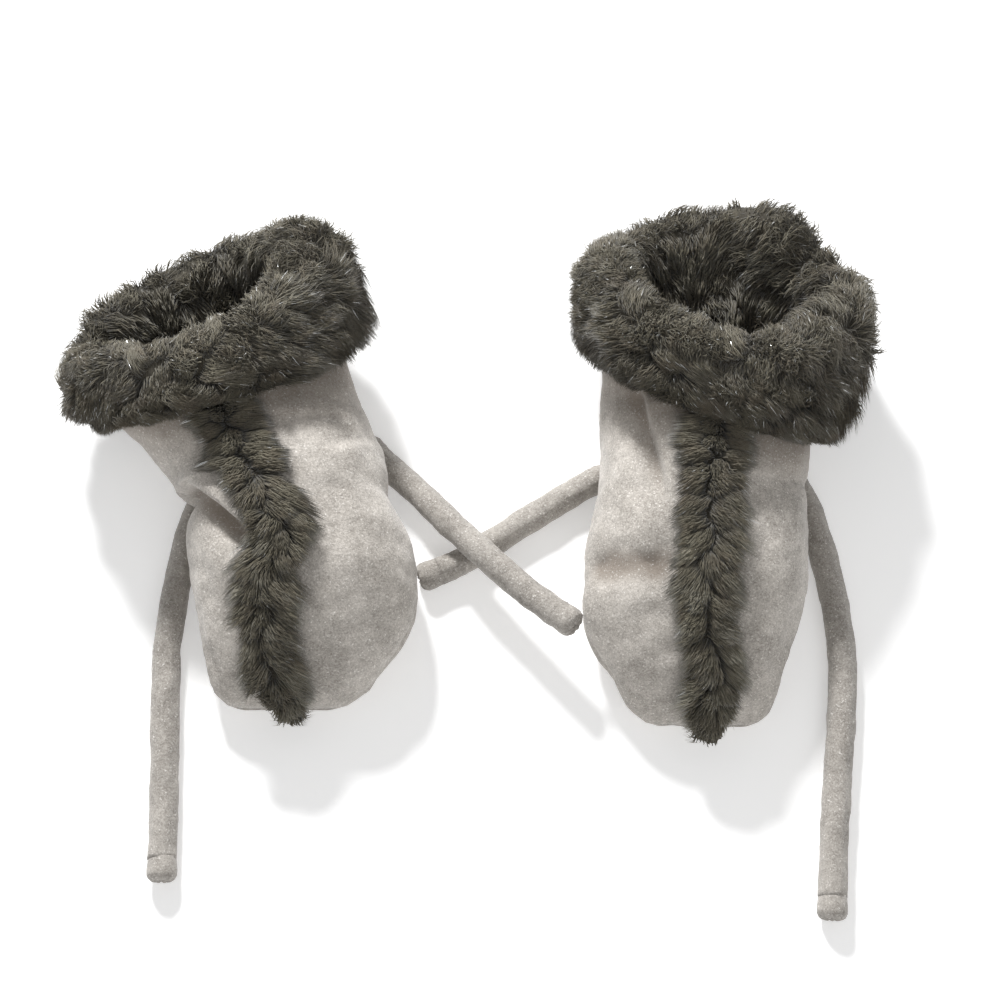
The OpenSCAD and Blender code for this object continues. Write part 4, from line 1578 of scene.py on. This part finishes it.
def tie_end(mitt, node, start, way, settings, suede):
    """The end of a tie, drawn together into radial pleats."""
    side, up = sides_of(way)

    def place(across, along):
        k = along * (len(GATHER_X) - 1)
        x = np.interp(k, range(len(GATHER_X)), GATHER_X) * settings.end_length
        r = np.interp(k, range(len(GATHER_R)), GATHER_R) * tie_radius(settings)
        turn = 2 * math.pi * across
        drawn = smooth_step(0.45, 0.95, along)
        pleats = 1 - 0.13 * drawn * (0.5 + 0.5 * np.cos(turn * PLEATS + 0.8 * np.sin(turn * 2)))
        x = x - 0.5 * MM * drawn * (0.5 + 0.5 * np.cos(turn * PLEATS))
        return above_floor(start + way * x[:, None] + out_of(side, up, turn) * (r * pleats)[:, None])

    piece = shaped_grid(mitt.node(node + "_gather"), 72, 36, place)
    smooth_shaded(closed(piece))
    return dressed(piece, mitt, suede, node)


def rounded(share):
    """A share of a round, made squarer."""
    return np.sign(share) * np.abs(share) ** 0.75


def tack(mitt, suede):
    """The folded suede loop that holds the middle of the tie."""
    low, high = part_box(mitt.node("tie_tack"))
    ties = (TIE_ROUTES[mitt.node(tie)] for tie in ("tie_outer", "tie_inner"))
    start, end = (Vector(np.array(route[0]) * MM + FOOTPRINT_SHIFT) for route in ties)
    way = (end - start).normalized()
    side = Vector((-way.y, way.x, 0))
    middle = (start + end) / 2
    half = (end - start).length / 2 - 0.1 * MM

    def place(across, along):
        turn = 2 * math.pi * across
        x = 2 * along - 1
        inset = 1 - 0.10 * np.abs(x) ** 4
        wide = TACK_HALF_WIDTH * rounded(np.cos(turn)) * inset
        tall = (high.z - low.z) / 2 * rounded(np.sin(turn)) * inset
        points = np.array(middle) + np.outer(x * half, np.array(way)) + np.outer(wide, np.array(side))
        points[:, 2] = (low.z + high.z) / 2 + tall
        return points

    piece = shaped_grid(mitt.node("tie_tack_loop"), 40, 18, place)
    smooth_shaded(closed(piece, capped=True))
    return dressed(piece, mitt, suede, "tie_tack")


class MITTS_OT_ties(Operator):
    """Make the stuffed ties, their gathered ends and their tacks"""

    bl_idname = "mitts.ties"
    bl_label = "Ties"

    def execute(self, context):
        settings = context.scene.mitts_ties
        # Painted shade: the ties take a darker copy of the suede, at 0.77 of its colours
        suede = material("tie_suede", suede_finish, context.scene.mitts_suede, 0.77)
        for mitt in MITTS:
            tack(mitt, suede)
            for node in ("tie_outer", "tie_inner"):
                piece, line, run, way = tie_tube(mitt, node, settings, suede)
                end = tie_end(mitt, node + "_end", line[-1], way, settings, suede)
        return {"FINISHED"}


# ---------------------------------------------------------------------------
# Stage
# ---------------------------------------------------------------------------

CAMERA_TARGET = Vector((10.0 * MM, -3.15 * MM, 4 * MM))
LAMP_TARGET = Vector((0, 0, 0.02))
# Place in metres, size in metres and power in watts
LAMPS = {
    "key": ((-0.26, 0.84, 0.68), 0.18, 18.0),
    "fill": ((0.3, -0.9, 0.9), 1.0, 3.0),
}
SKY_STRENGTH = 0.45


def aimed(name, data, place, target):
    made = linked(name, data)
    made.location = place
    made.rotation_euler = (target - Vector(place)).to_track_quat("-Z", "Y").to_euler()
    return made


def area_lamp(name, place, size, power):
    data = bpy.data.lights.new(name, "AREA")
    data.shape = "DISK"
    data.size = size
    data.energy = power
    aimed(name, data, place, LAMP_TARGET)


def floor_finish(name, settings):
    return Finish(name).finish(
        Base_Color=settings.floor,
        Roughness=0.9,
        Specular_IOR_Level=0.1,
        Emission_Color=settings.floor,
        Emission_Strength=0.3,
    )


class MITTS_OT_stage(Operator):
    """Make the floor, the light and the camera"""

    bl_idname = "mitts.stage"
    bl_label = "Stage"

    def execute(self, context):
        settings = context.scene.mitts_stage
        scene = context.scene
        data = bpy.data.cameras.new("camera")
        data.lens = settings.lens
        data.sensor_width = 36
        data.clip_start = 0.01
        back = Vector((0, -math.cos(settings.elevation), math.sin(settings.elevation)))
        scene.camera = aimed("camera", data, CAMERA_TARGET + back * settings.distance, CAMERA_TARGET)
        bpy.ops.object.select_all(action="DESELECT")
        bpy.ops.mesh.primitive_plane_add(size=6)
        floor = context.object
        floor.name = "floor"
        floor.data.materials.append(material("floor_white", floor_finish, settings))
        for name, (place, size, power) in LAMPS.items():
            area_lamp(name, place, size, power)
        world = bpy.data.worlds.new("studio")
        world.use_nodes = True
        sky = world.node_tree.nodes["Background"].inputs
        sky["Color"].default_value = (1, 1, 1, 1)
        sky["Strength"].default_value = SKY_STRENGTH
        scene.world = world
        scene.view_settings.view_transform = "Standard"
        return {"FINISHED"}


# ---------------------------------------------------------------------------
# Panel and registration
# ---------------------------------------------------------------------------

MAKERS = (
    MITTS_OT_stage,
    MITTS_OT_ties,
    MITTS_OT_padding,
    MITTS_OT_suede_panels,
    MITTS_OT_inner_layers,
    MITTS_OT_cuffs,
    MITTS_OT_strips,
)


class MITTS_PT_pieces(Panel):
    """Makers of the mitts' pieces"""

    bl_idname = "MITTS_PT_pieces"
    bl_label = "Mitts"
    bl_space_type = "VIEW_3D"
    bl_region_type = "UI"
    bl_category = "Mitts"

    def draw(self, context):
        for maker in MAKERS:
            self.layout.operator(maker.bl_idname)


GROUPS = {
    "mitts_suede": MittsSuedeSettings,
    "mitts_pile": MittsPileSettings,
    "mitts_ties": MittsTieSettings,
    "mitts_stage": MittsStageSettings,
}
CLASSES = (*GROUPS.values(), *MAKERS, MITTS_PT_pieces)


def register():
    for cls in CLASSES:
        bpy.utils.register_class(cls)
    for name, group in GROUPS.items():
        setattr(bpy.types.Scene, name, PointerProperty(type=group))


def unregister():
    for name in GROUPS:
        delattr(bpy.types.Scene, name)
    for cls in reversed(CLASSES):
        bpy.utils.unregister_class(cls)


def main():
    register()
    bpy.ops.mitts.stage()
    bpy.ops.mitts.ties()
    bpy.ops.mitts.padding()
    bpy.ops.mitts.suede_panels()
    bpy.ops.mitts.inner_layers()
    bpy.ops.mitts.cuffs()
    bpy.ops.mitts.strips()


if __name__ == "__main__":
    main()
